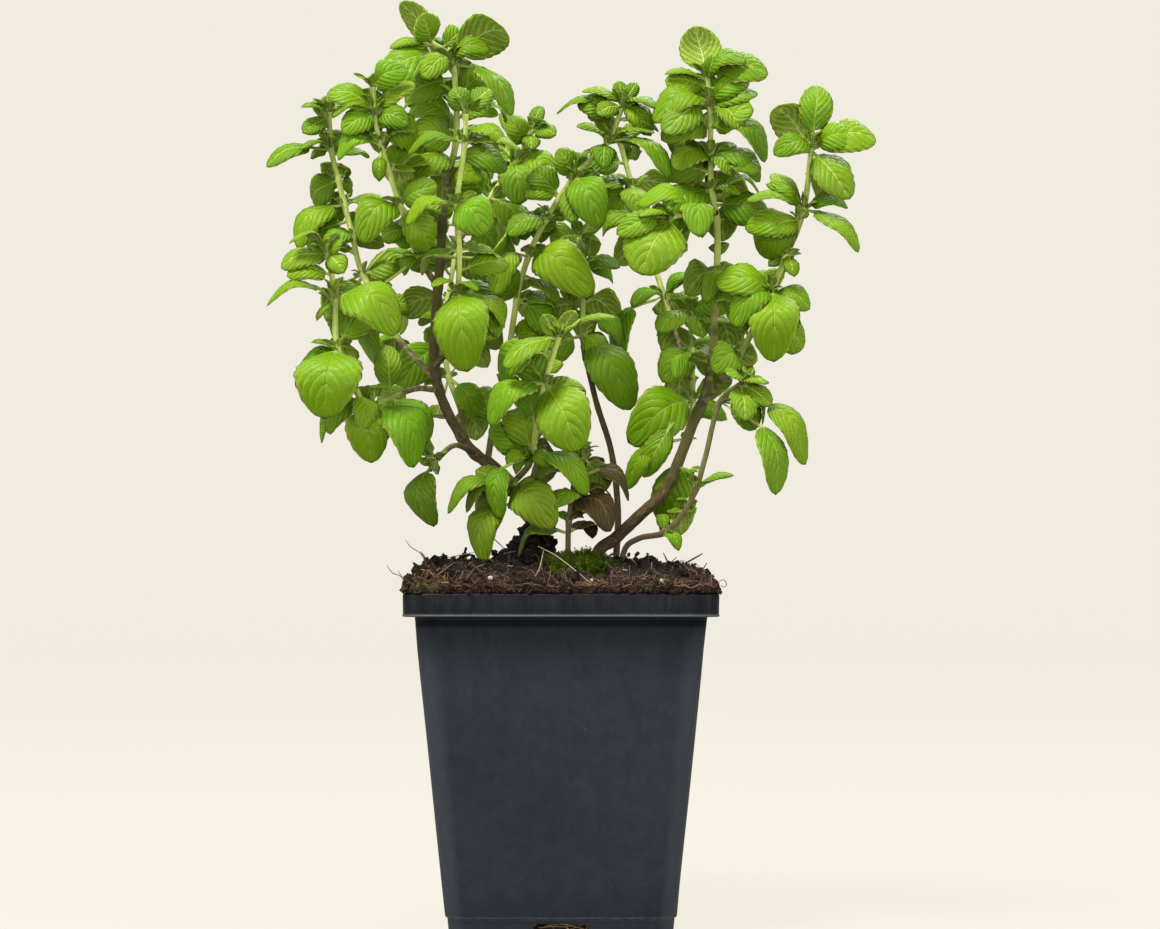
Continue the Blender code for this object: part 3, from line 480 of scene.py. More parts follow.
# %% Pot
RIM_HALF, RIM_TOP, RIM_HEIGHT, RIM_CORNER = 45.0, 98.0, 6.8, 8.5
BODY_TOP, BODY_BOTTOM, BODY_CORNER, WALL = 42.3, 32.8, 6.5, 1.2
FOOT_HEIGHT, FOOT_INSET = 4.6, 0.6
DRAIN_WIDTH, DRAIN_HEIGHT, DRAIN_REACH = 15.6, 3.5, 7.0
CORNER_STEPS, SIDE_STEPS = 10, 8


def body_half(z):
    """Half of the pot's outer width at a height."""
    return BODY_BOTTOM + (BODY_TOP - BODY_BOTTOM) * z / RIM_TOP


def rounded_square(half, corner, z, wobble=0.0):
    """Points round a square with round corners; the wobble dents its sides a little, as in thin plastic."""
    points = []
    for quarter in range(4):
        turn = Matrix.Rotation(math.radians(90) * quarter, 3, "Z")
        side = []
        for k in range(SIDE_STEPS):
            side.append((half, (half - corner) * (2 * k / SIDE_STEPS - 1)))
        for k in range(CORNER_STEPS):
            angle = math.radians(90) * k / CORNER_STEPS
            side.append((half - corner + corner * math.cos(angle), half - corner + corner * math.sin(angle)))
        for x, y in side:
            point = turn @ Vector((x, y, 0.0))
            dent = wobble * noise.noise(Vector((point.x * 0.045, point.y * 0.045, z * 0.03)))
            point += point.normalized() * dent
            points.append(Vector((point.x, point.y, z)) * MM)
    return points


def fillet(half, z, radius, start, end, inward=1.0, steps=4):
    """Half-widths and heights round a small fillet, whose middle is inside the corner (half, z)."""
    out = []
    for k in range(steps + 1):
        angle = math.radians(start + (end - start) * k / steps)
        out.append((half + radius * math.cos(angle) * inward, z + radius * math.sin(angle)))
    return out


skirt_low = RIM_TOP - RIM_HEIGHT
lip = 0.35
profile = [(body_half(WALL) - FOOT_INSET - WALL, WALL)]
profile += [(body_half(FOOT_HEIGHT) - FOOT_INSET - WALL, FOOT_HEIGHT)]
profile += [(body_half(z) - WALL, z) for z in (FOOT_HEIGHT + 1.0, 20, 36, 52, 68, 82, 92)]
profile += fillet(body_half(RIM_TOP) - WALL + 0.5, RIM_TOP - 0.5, 0.5, 180, 90)
profile += fillet(RIM_HALF - 0.9, RIM_TOP - 0.9, 0.9, 90, 0, steps=6)
profile += [(RIM_HALF - 0.1, skirt_low + 1.6), (RIM_HALF - 0.1, skirt_low + 0.75)]
profile += fillet(RIM_HALF - 0.25, skirt_low + lip, lip, 60, -90)
profile += [(RIM_HALF - WALL, skirt_low), (RIM_HALF - WALL, RIM_TOP - WALL)]
profile += [(body_half(RIM_TOP - WALL), RIM_TOP - WALL)]
profile += [(body_half(z), z) for z in (90, 82, 74, 64, 54, 44, 34, 24, 14)]
profile += [(body_half(FOOT_HEIGHT + 0.9), FOOT_HEIGHT + 0.9)]
profile += fillet(body_half(FOOT_HEIGHT) - 0.3, FOOT_HEIGHT + 0.6, 0.3, 0, -90)
profile += [(body_half(FOOT_HEIGHT) - FOOT_INSET, FOOT_HEIGHT + 0.1)]
profile += fillet(body_half(0.6) - FOOT_INSET - 0.6, 0.6, 0.6, 0, -90)
profile += [(20.0, 0.0), (6.0, 0.0)]


def corner_radius(half, z):
    rim = half > body_half(min(z, RIM_TOP)) + 1.5
    outer = RIM_CORNER if rim else BODY_CORNER
    middle = RIM_HALF if rim else body_half(z)
    return max(outer - (middle - half), 1.2)


pot_bm = bmesh.new()
pot_rings = []
for half, z in profile:
    wobble = 0.35 if 12 < z < 88 else 0.0
    ring = rounded_square(half, corner_radius(half, z), z, wobble)
    pot_rings.append([pot_bm.verts.new(point) for point in ring])
count = len(pot_rings[0])
pot_bm.faces.new(pot_rings[0])
pot_bm.faces.new(pot_rings[-1][::-1])
for low, high in zip(pot_rings, pot_rings[1:]):
    for k in range(count):
        n = (k + 1) % count
        pot_bm.faces.new((low[k], high[k], high[n], low[n]))
bmesh.ops.recalc_face_normals(pot_bm, faces=pot_bm.faces)
pot_mesh = bpy.data.meshes.new("pot")
pot_bm.to_mesh(pot_mesh)
pot_bm.free()

slots = bpy.data.collections.new("slots")
scene.collection.children.link(slots)
for quarter in range(4):
    cutter_bm = bmesh.new()
    bmesh.ops.create_cube(cutter_bm, size=1.0)
    size = (DRAIN_WIDTH * MM, 2 * DRAIN_REACH * MM, 2 * DRAIN_HEIGHT * MM)
    bmesh.ops.scale(cutter_bm, vec=size, verts=cutter_bm.verts)
    uprights = [e for e in cutter_bm.edges if abs(e.verts[0].co.y - e.verts[1].co.y) > DRAIN_REACH * MM]
    bmesh.ops.bevel(cutter_bm, geom=uprights, offset=0.8 * MM, segments=3, affect="EDGES")
    bmesh.ops.translate(cutter_bm, vec=(0, -body_half(0) * MM, 0), verts=cutter_bm.verts)
    turn = Matrix.Rotation(math.radians(90) * quarter, 4, "Z")
    bmesh.ops.transform(cutter_bm, matrix=turn, verts=cutter_bm.verts)
    cutter_mesh = bpy.data.meshes.new("slot")
    cutter_bm.to_mesh(cutter_mesh)
    cutter_bm.free()
    slots.objects.link(bpy.data.objects.new(f"slot_{quarter}", cutter_mesh))

pot_blank = bpy.data.objects.new("pot_blank", pot_mesh)
scene.collection.objects.link(pot_blank)
cut = pot_blank.modifiers.new("slots", "BOOLEAN")
cut.operand_type = "COLLECTION"
cut.collection = slots
cut.operation = "DIFFERENCE"
cut.solver = "EXACT"
bpy.context.view_layer.update()
pot_mesh = bpy.data.meshes.new_from_object(pot_blank.evaluated_get(bpy.context.evaluated_depsgraph_get()))
for item in [pot_blank, *slots.objects]:
    bpy.data.objects.remove(item, do_unlink=True)
bpy.data.collections.remove(slots)
pot_mesh.shade_smooth()
pot_mesh.set_sharp_from_angle(angle=math.radians(40))

# %% [markdown]
# ### Its plastic
#
# Recycled plastic of this kind is not evenly dark. It is satin, a little cloudy, has faint upright drag
# marks under the rim from leaving the mould, grey scuffs on the walls, and specks of dried soil. Light and
# shade are painted into its colour as well: painted highlights on the rounded corners, the rim's lip and the
# foot's step, and painted shade on the rim and in a band under it, where the reflections are weaker too.
# Colour and roughness change together, and a very shallow bump breaks up the reflections.

# %% Pot plastic
plastic, tree, shader = new_finish("pot_plastic", Specular_IOR_Level=0.2)
cloud = use(tree, mottling, Scale=38.0, Seed=2.0)
drag = use(tree, mottling, Scale=260.0, Stretch=(1.0, 1.0, 0.045), Seed=7.0)
scuff = use(tree, mottling, Scale=70.0, Stretch=(1.0, 1.0, 0.4), Seed=11.0)
dust = use(tree, grit, Scale=420.0, Amount=0.012, Size=0.2)
x, y, height = axes(tree, object_place(tree))
upper = height.ramp(0.045, 0.092)
rim = height.ramp(0.0903, 0.0907)
marks = scuff["Fine"].ramp(0.45, 0.8) * scuff["Patches"].ramp(0.3, 0.8) * 0.45
half = height * ((BODY_TOP - BODY_BOTTOM) / RIM_TOP) + BODY_BOTTOM * MM
# Painted highlight: the rounded corners are lighter, up to just under the rim.
corner = (abs(x).least(abs(y)) / half).ramp(0.82, 0.90)
# Painted shade: darker in a broad band under the rim, darkest just under it.
shade_under_rim = (height.ramp(0.070, 0.0895) * 0.5).most(height.ramp(0.0868, 0.0890) * 0.88) * (1.0 - rim)
# Painted highlights: thin lighter lines along the rim's lip and the foot's step.
rim_lip_highlight = height.ramp(0.0910, 0.0913) * height.ramp(0.0917, 0.0922, 1.0, 0.0)
foot_step_highlight = height.ramp(0.0044, 0.0047) * height.ramp(0.0052, 0.0056, 1.0, 0.0) * (0.5 + scuff["Fine"])
base = layers(
    tree, (0.0100, 0.0130, 0.0196),
    (cloud["Patches"] * 0.6 + cloud["Fine"] * 0.4, (0.0150, 0.0190, 0.0270)),
    (drag["Patches"] * (0.2 + upper * 0.5) * (0.5 - rim * 0.4), (0.023, 0.027, 0.035)),
    (marks, (0.009, 0.011, 0.0165)),
    (dust["Specks"] * dust["Shade"] * 0.5, (0.07, 0.055, 0.04)),
    # Painted highlight on the rounded corners.
    (corner * height.ramp(0.089, 0.084) * 0.75, (0.030, 0.036, 0.044)),
    # Painted shade: the rim itself and the band under it are darker.
    ((rim * 0.72).most(shade_under_rim), (0.0012, 0.0018, 0.0030)),
    # Painted highlights along the rim's lip and the foot's step.
    (rim_lip_highlight.most(foot_step_highlight) * 0.6, (0.062, 0.068, 0.078)),
)
# Painted shade and highlight in the reflections too: weaker on the rim and under it, stronger on the rim's
# lip.
feed(shader.inputs["Specular IOR Level"], 0.2 * (1.0 - (rim * 0.6).most(shade_under_rim) * 0.85) + rim_lip_highlight * 0.3)
roughness = 0.36 + cloud["Fine"] * 0.12 + marks * 0.25 + drag["Fine"] * 0.06
relief = cloud["Fine"] * 0.35 + drag["Fine"] * 0.4 + scuff["Fine"] * 0.25
paint(tree, shader, base, roughness, relief, 0.00012)
pot_mesh.materials.append(plastic)
piece("pot_shell", pot_mesh, "pot_plastic", "pot")

# %% [markdown]
# ## Where the stems and leaves are
#
# A calamint grows by a rule: a stem carries pairs of leaves at its nodes, each pair across from the one
# below, and tiny leaves in their armpits. What no rule gives is each stem's own bend and each leaf's own
# place. Those are in tables: a point is (across, up, depth) in millimetres as the camera sees it on the
# plane of the pot's front, and a leaf is the place of its tip, its width, and the way its upper face looks.
# A shoot's nodes run from foot to top, and each is its place with its leaves behind it; foot is the stem's
# half-width there. The worn shoots low down bear old leaves, and in_soil marks two that rise from the soil
# itself.

# %% Routes of the brown stems
EYE_DISTANCE, EYE_HEIGHT, PICTURE_DEPTH, FULLNESS = 950.0, 108.0, -40.0, 1.35

WOODY = {
    "stem_left": dict(
        girth=(1.75, 1.2),
        route=[
            (-5, 88, 3), (-6.5, 110, 3), (-8, 117, 3), (-13.6, 127, 4), (-18, 133, 4), (-25, 138, 5),
            (-31, 147, 6), (-35, 157, 7), (-36, 167, 8), (-35, 182, 8), (-34, 195, 7), (-33.4, 205, 7),
        ],
    ),
    "stem_right": dict(
        girth=(1.9, 1.4),
        route=[
            (8, 88, -2), (10, 108, -2), (15.5, 113.5, -1), (22.3, 120, 0), (30, 128, 2), (37, 145, 3),
            (40.7, 153.4, 4),
        ],
    ),
    "stem_middle": dict(
        girth=(1.0, 0.8),
        route=[
            (14, 90, 10), (16, 114, 10), (15.8, 126, 11), (14, 139, 12), (10, 152, 14), (6.2, 168, 17),
        ],
    ),
}

def seen(across, up, depth):
    """The real place of a point that is seen at (across, up) on the plane of the pot's front."""
    depth *= FULLNESS
    spread = (EYE_DISTANCE + depth) / (EYE_DISTANCE + PICTURE_DEPTH)
    return Vector((across * spread, depth, EYE_HEIGHT + (up - EYE_HEIGHT) * spread))


def smooth_route(points, step):
    """Points along a smooth curve through the given ones, about one step apart."""
    padded = [points[0] * 2 - points[1], *points, points[-1] * 2 - points[-2]]
    route = [points[0]]
    for before, start, end, after in zip(padded, padded[1:], padded[2:], padded[3:]):
        pieces = max(1, round((end - start).length / step))
        for k in range(1, pieces + 1):
            t = k / pieces
            route.append(0.5 * (2 * start + (end - before) * t
                                + (2 * before - 5 * start + 4 * end - after) * t ** 2
                                + (3 * start - before - 3 * end + after) * t ** 3))
    return route


# %% Leafy shoots
FOOT_GIRTH, TOP_GIRTH = 1.0, 0.85
UP = (0.0, -0.5, 1.0)
FRONT = (0.0, -1.0, 0.35)
UP_FRONT = (0.0, -0.8, 0.8)
LEFT = (-0.7, -0.8, 0.3)
RIGHT = (0.7, -0.8, 0.3)
BACK = (0.0, 0.8, 0.6)
TOP = (0.0, -0.15, 1.0)

SHOOTS = {
    "shoot_left_crown": dict(foot=1.1, nodes=[
        (-33.6, 202, 7),
        (-31.7, 216, 6, (-48, 219, 0, 12, UP_FRONT), (-22.7, 215.6, 2, 7.5, FRONT)),
        (-29.7, 226, 5, (-19, 222, 15, 10, UP), (-42, 223, 13, 10, UP)),
        (-29.7, 238, 4, (-14.8, 232.6, 9, 8.5, UP), (-45, 236, 10, 9.5, UP)),
        (-31.2, 249.5, 4, (-15, 257.6, -2, 14, BACK), (-52, 242, -4, 14, UP_FRONT),
            (-13.6, 234.7, -3, 12, UP), (-39, 245, -7, 7, FRONT), (-26, 254, 0, 4, UP)),
        (-36.8, 253.6, 3, (-45, 265, 6, 8.5, BACK), (-39, 261.6, -3, 8.5, FRONT),
            (-48.4, 253, -1, 6, UP)),
    ]),
    "shoot_left_front": dict(nodes=[
        (-35.6, 162, 7.4),
        (-31, 169, -5),
        (-29.2, 183.4, -13, (-26.6, 162.5, -24, 17, FRONT), (-16, 171.6, -3, 10.5, FRONT),
            (-36, 185.7, -19, 4.5, UP), (-24, 184.6, -19, 4.5, UP)),
        (-28.8, 195, -15, (-40, 189, -11, 8.5, UP), (-18.5, 191, -9, 8.5, UP)),
        (-29.5, 208, -16, (-44, 203.7, -20, 10, UP), (-21, 201.3, -23, 13, FRONT)),
        (-27.2, 225.3, -18, (-43.6, 223.4, -20, 9.5, UP), (-11.6, 224.2, -19, 9.5, UP)),
        (-27, 233.5, -18, (-30.5, 241, -19, 6.5, FRONT), (-20, 241, -17, 7, FRONT)),
    ]),
    "shoot_far_left": dict(nodes=[
        (-36, 159, 7.4),
        (-46, 170, 16),
        (-56, 188, 25, (-39.4, 193, 20, 6, UP)),
        (-59, 199, 26, (-67, 196, 19, 7, FRONT)),
        (-61.3, 208, 27, (-75.6, 197, 24, 10.5, UP), (-48, 205, 36, 10.5, UP)),
        (-63, 215, 27, (-71, 209, 32, 9.5, FRONT), (-59.5, 211, 33, 5.5, FRONT)),
        (-65, 223.4, 27, (-83.5, 219.7, 23, 9, UP), (-73.5, 224.5, 20, 5.5, UP), (-55, 222, 36, 8.5, UP)),
        (-65.7, 234, 26, (-73.3, 236, 22, 5.5, UP), (-66, 239, 25, 4, FRONT),
            (-73, 228.5, 23, 6.5, FRONT)),
    ]),
    "shoot_left_inner": dict(nodes=[
        (-35.2, 185, 8),
        (-40.2, 193.4, -1, (-52.5, 161, -4, 10.5, LEFT)),
        (-45.6, 208, -8, (-57, 199, -15, 12, UP_FRONT), (-36.5, 195, -3, 10, FRONT)),
        (-51.3, 226, -12, (-63.5, 222, -14, 9, UP), (-41, 229, -14, 6.5, UP),
            (-51.5, 214.9, -15, 4, FRONT)),
        (-52.7, 234.5, -12, (-65.7, 240.3, -15, 8.5, UP_FRONT), (-41.6, 242.6, -13, 9, UP_FRONT),
            (-43.3, 231, -17, 7, FRONT), (-61.7, 229, -17, 7.5, FRONT)),
        (-53.3, 241, -12, (-57.5, 244.5, -14, 4, UP), (-49.5, 245, -12, 4, UP)),
    ]),
    "shoot_lower_left": dict(foot=1.05, nodes=[
        (-35.4, 155.5, 6.9),
        (-42, 155.6, -3),
        (-54.4, 151.2, -14, (-53.8, 136, -21, 13.5, FRONT), (-40.5, 135.4, -20, 14, RIGHT),
            (-49.5, 156.8, -18, 5.5, UP), (-56.5, 145, -23, 7, FRONT), (-69, 142, -11, 6.5, UP)),
        (-58.3, 156.3, -17),
        (-63.4, 167.6, -20, (-66.8, 148.7, -29, 20, FRONT), (-55.5, 176.7, -9, 10.5, FRONT),
            (-70.5, 169.5, -22, 4, UP)),
        (-64, 182, -20, (-46, 173.6, -26, 15.5, UP_FRONT), (-83.4, 181, -22, 9.5, UP),
            (-69.5, 175.5, -22, 4, UP)),
        (-66, 194, -19, (-79.3, 190.6, -21, 9.5, UP_FRONT), (-61.5, 189, -23, 6, FRONT),
            (-62.5, 199, -20, 6, UP), (-70, 197.5, -17, 5.5, UP)),
    ]),
    "shoot_left_rear": dict(nodes=[
        (-27.5, 142.2, 5.4),
        (-28.5, 150, 14),
        (-31.7, 159, 20, (-22.4, 147, 15, 7.5, FRONT)),
        (-33, 169, 25, (-46, 156.5, 20, 12, FRONT), (-21, 163, 33, 10.5, BACK)),
        (-32, 181, 30, (-46, 178, 38, 12, BACK), (-17, 168, 26, 9, FRONT)),
        (-30, 194, 34, (-42, 190, 42, 10.5, BACK), (-20, 187, 42, 10.5, BACK)),
        (-29, 206, 36, (-37, 212, 39, 7, UP), (-22, 211, 41, 7, UP)),
    ]),
    "shoot_left_back": dict(nodes=[
        (-34.4, 190, 7.6),
        (-30.6, 195, 17),
        (-26, 202, 24, (-14, 189.6, 15, 11, FRONT)),
        (-20, 210, 28, (-9.9, 199, 20, 10.5, UP_FRONT), (-30, 213, 38, 10.5, UP)),
        (-13, 220, 31, (-11.6, 209.2, 22, 10.5, FRONT), (-1.5, 215.4, 26, 10, UP_FRONT),
            (-20, 226, 38, 8.5, BACK)),
        (-8, 229, 31, (-13.5, 233, 28, 6, UP_FRONT), (-1.5, 228, 28, 6, UP_FRONT),
            (-5.5, 236, 31, 4.5, FRONT), (-8.5, 224, 25, 5.5, FRONT)),
    ]),
    "shoot_low_left": dict(leaf="leaf_old", nodes=[
        (-9.6, 120.4, 3.3),
        (-12, 124, -5, (-23.5, 108.5, -12, 9.5, LEFT)),
        (-14, 128, -10, (-2.3, 117.8, -18, 13.5, FRONT), (-32.6, 122.5, -12, 9, UP),
            (-24, 133, -10, 6.5, FRONT), (-26, 122.5, -15, 4.5, UP)),
    ]),
    "shoot_stalk_left": dict(leaf="leaf_old", nodes=[
        (-24, 137.4, 4.9),
        (-30, 139.8, -3),
        (-35, 136, -5, (-37.7, 117.3, -8, 9.5, LEFT), (-33, 138, -9, 4, UP)),
    ]),
    "shoot_centre": dict(nodes=[
        (-14.5, 128.3, 4),
        (-9.7, 133.3, -5),
        (-8.3, 137, -9, (-18.7, 120.4, -15, 7.5, LEFT), (7.6, 127.2, -15, 9.5, UP_FRONT),
            (-15.3, 135.4, -13, 5.5, UP), (-2.5, 134.5, -14, 4.5, FRONT), (-19.5, 146, -6, 9.5, FRONT)),
        (-5.7, 152.6, -18),
        (-4.6, 157.5, -20, (5.3, 139.3, -28, 16.5, FRONT), (-20.7, 147, -24, 14, LEFT)),
        (-0.6, 170.5, -24, (-16.4, 162.5, -28, 10.5, UP), (15.5, 176.7, -26, 6.5, UP),
            (-18.7, 160, -14, 10.5, FRONT), (-5, 177, -25, 4.5, BACK), (4, 178, -24, 4.5, BACK)),
    ]),
    "shoot_middle": dict(foot=1.1, nodes=[
        (-20.8, 135.3, 4.4),
        (-19, 146, 9),
        (-15.9, 158.3, 12),
        (-12.5, 181, 14, (-20, 190, 9, 10, FRONT), (-2, 176, 20, 9.5, UP)),
        (-9.1, 193.5, 12, (8.2, 184.3, 0, 15.5, FRONT), (-19, 184, 3, 8.5, UP)),
        (-4, 204, 8, (7, 207, 14, 8.5, UP), (-15, 200, 3, 9, UP_FRONT)),
        (3.6, 215.7, 4, (11, 203, -6, 12.5, FRONT), (-0.8, 223.4, 1, 7.5, FRONT),
            (3, 203.5, -5, 6.5, FRONT), (9, 224, -1, 4.5, UP)),
        (13.5, 226.2, 2, (30.8, 217.1, -6, 10, UP), (4.8, 230.7, -2, 6.5, UP), (26, 229, -4, 7.5, UP),
            (12, 218.8, -5, 7, FRONT)),
        (17.8, 237, 1, (6.2, 240.6, 0, 7.5, UP), (-1.5, 234.7, 5, 9, UP), (10.4, 234, -5, 5.5, FRONT),
            (16.3, 243, 0, 4.5, FRONT), (21.4, 242.6, 0, 4, FRONT), (25.7, 238.6, -1, 5.5, UP)),
    ]),
    "shoot_middle_back": dict(nodes=[
        (6.9, 164, 16.3),
        (6.2, 171, 17.6, (12.7, 163, 11, 7, FRONT), (19.5, 151.3, 9, 15, FRONT)),
        (6, 180, 19, (-8, 172, 27, 10.5, BACK), (16, 176, 28, 10.5, BACK)),
        (5, 190, 21, (16.5, 191, 18, 8.5, UP_FRONT), (-5, 186, 28, 9.5, UP)),
        (5, 199, 22, (-2.5, 197.5, 15, 9.5, FRONT), (4, 191.5, 13, 6.5, FRONT), (12, 204, 27, 7, BACK)),
    ]),
    "shoot_right_tall": dict(foot=1.45, nodes=[
        (39.8, 151, 3.8),
        (42.5, 163, 4, (53, 157, 12, 9, UP)),
        (44.1, 188, 3, (52, 178.7, -3, 13.5, FRONT), (41.8, 179.2, -6, 6.5, FRONT),
            (36, 184, 13, 10.5, BACK)),
        (44.1, 203.8, 2, (56, 200, 7, 9.5, UP_FRONT), (34, 197, 9, 9, UP)),
        (42.6, 212, 1, (31.4, 201.5, -6, 11, UP_FRONT), (50.5, 211.5, -4, 6.5, UP),
            (52, 210, 12, 10.5, BACK)),
        (42.4, 222, 0, (32, 219, -6, 9.5, UP), (48, 217, -6, 7.5, RIGHT), (56.5, 218, -5, 9.5, UP),
            (35, 219, 11, 9.5, BACK)),
        (42.1, 237, 0, (26.6, 232.7, -7, 13, UP_FRONT), (29.5, 229, -11, 9.5, FRONT),
            (55.4, 240, -4, 9.5, UP), (50.6, 230, -8, 7, UP), (58.5, 221.4, -4, 12, RIGHT),
            (45, 231, 12, 10.5, BACK)),
        (41.3, 244.6, 0, (37.9, 258.2, 2, 11, BACK), (58.5, 246, -2, 14, UP_FRONT),
            (43, 250, -4, 4.5, FRONT), (29.5, 245.6, -2, 7, UP)),
    ]),
    "shoot_right_outer": dict(foot=1.05, nodes=[
        (38.6, 149.5, 3.4),
        (50, 164.5, -5, (43.3, 162, -12, 9, FRONT)),
        (56.3, 176.7, -9, (67, 171, -3, 8, UP), (45, 182, -2, 8, UP)),
        (59.7, 184, -11, (60.5, 164.8, -19, 15, FRONT), (48.6, 174.7, -17, 9.5, UP_FRONT),
            (51.5, 185.4, -14, 7, UP), (70.5, 179.3, -14, 7.5, UP_FRONT)),
        (63.9, 193.6, -12, (66, 188, -16, 4.5, FRONT)),
        (68.7, 206.7, -13, (85, 195.5, -15, 11, UP), (52.9, 210, -17, 8.5, UP), (60, 217, -14, 7.5, UP),
            (55.5, 194, -9, 11, FRONT), (59.5, 201, -17, 7.5, FRONT)),
        (71, 224.8, -13, (72.4, 242, -12, 9, FRONT), (89.1, 227, -15, 13, UP_FRONT),
            (81.8, 210, -18, 12, FRONT), (60.5, 235.5, -14, 13, BACK)),
    ]),
    "shoot_right_inner": dict(nodes=[
        (31, 130, 2.1),
        (36.5, 142, 12, (29.4, 117, 10, 11, FRONT), (18, 129, 8, 7.5, UP_FRONT)),
        (37.3, 152.6, 16, (19.5, 142, 8, 16, FRONT), (23.7, 132, 4, 7.5, FRONT)),
        (37, 166.8, 19, (29, 158.7, 11, 10, FRONT), (50, 160, 24, 10.5, UP)),
        (36.5, 178, 20, (28, 172.5, 13, 9, UP_FRONT), (40, 171, 12, 7.5, FRONT), (47, 174, 14, 9, UP),
            (35, 184, 22, 6, FRONT)),
    ]),
    "shoot_right_back": dict(nodes=[
        (37.2, 158, 17.2),
        (33.6, 167, 26),
        (29.1, 182, 31, (15, 164, 26, 9.5, LEFT), (20.3, 180, 24, 6.5, UP_FRONT), (36.5, 189, 29, 6, UP),
            (33, 176, 42, 10.5, BACK)),
        (24.5, 197, 34, (16, 192, 43, 9.5, BACK), (35, 196, 42, 9.5, BACK)),
        (20.1, 213.2, 35, (22.3, 205, 28, 8.5, FRONT), (8, 214, 38, 9, UP), (30, 214, 43, 8.5, BACK)),
        (16.5, 226, 34, (9.5, 231, 36, 6, UP), (23.5, 231, 35, 6, UP)),
    ]),
    "shoot_right_side": dict(nodes=[
        (44, 205.6, 1.7),
        (38, 205.5, -9, (22.3, 209.5, -13, 10.5, UP)),
        (31.5, 204.5, -13, (22.9, 188.8, -20, 18.5, FRONT), (22.4, 205.3, -19, 6.5, UP),
            (16, 200.2, -17, 7.5, FRONT)),
    ]),
    "shoot_right_low": dict(foot=1.05, in_soil=True, nodes=[
        (17, 93, -10),
        (17.6, 109, -10),
        (22, 113.4, -10.5),
        (29, 115, -11, (33.5, 110.8, -15, 4.5, UP)),
        (34.5, 120.5, -11.5),
        (38.2, 127.4, -11.5, (48.6, 132, -13, 5.5, UP), (34, 134, -14, 4, UP)),
        (41, 137, -11),
        (45, 152, -11, (70.4, 136.6, -16, 11, UP), (62.2, 127.5, -21, 11, RIGHT)),
        (52, 158, -15, (47, 160.5, -19, 6.5, UP), (57.6, 157.6, -20, 7, UP), (52, 147.2, -21, 7.5, FRONT),
            (59.5, 151.5, -19, 6, FRONT)),
    ]),
    "shoot_low_middle": dict(leaf="leaf_old", in_soil=True, nodes=[
        (2, 94, -9),
        (2, 112, -9),
        (2.2, 118, -10, (-1.6, 120, -13, 3.5, UP), (6, 120, -13, 3.5, UP)),
        (3, 124.5, -10, (-3, 123.5, -17, 7.5, UP_FRONT), (14.5, 117, -15, 9.5, UP)),
        (4, 131, -10, (20, 126, -8, 7.5, UP), (-7.1, 131.2, -12, 7, UP)),
        (6, 137, -10, (-0.6, 136, -5, 6.5, UP), (12.4, 125.5, -3, 9, FRONT), (8, 141, -12, 4, UP)),
    ]),
}
in_table = sum(len(node) - 3 for shoot in SHOOTS.values() for node in shoot["nodes"])
print(len(SHOOTS), "shoots with", in_table, "leaves in the table")

# %% [markdown]
# ### The leaves between
#
# The solids carry the leaves that give the bush its outline. The real one is fuller: these smaller leaves
# close the spaces between them. Each is its node (2.5 is midway from node 2 to node 3), its tip, width and
# face.

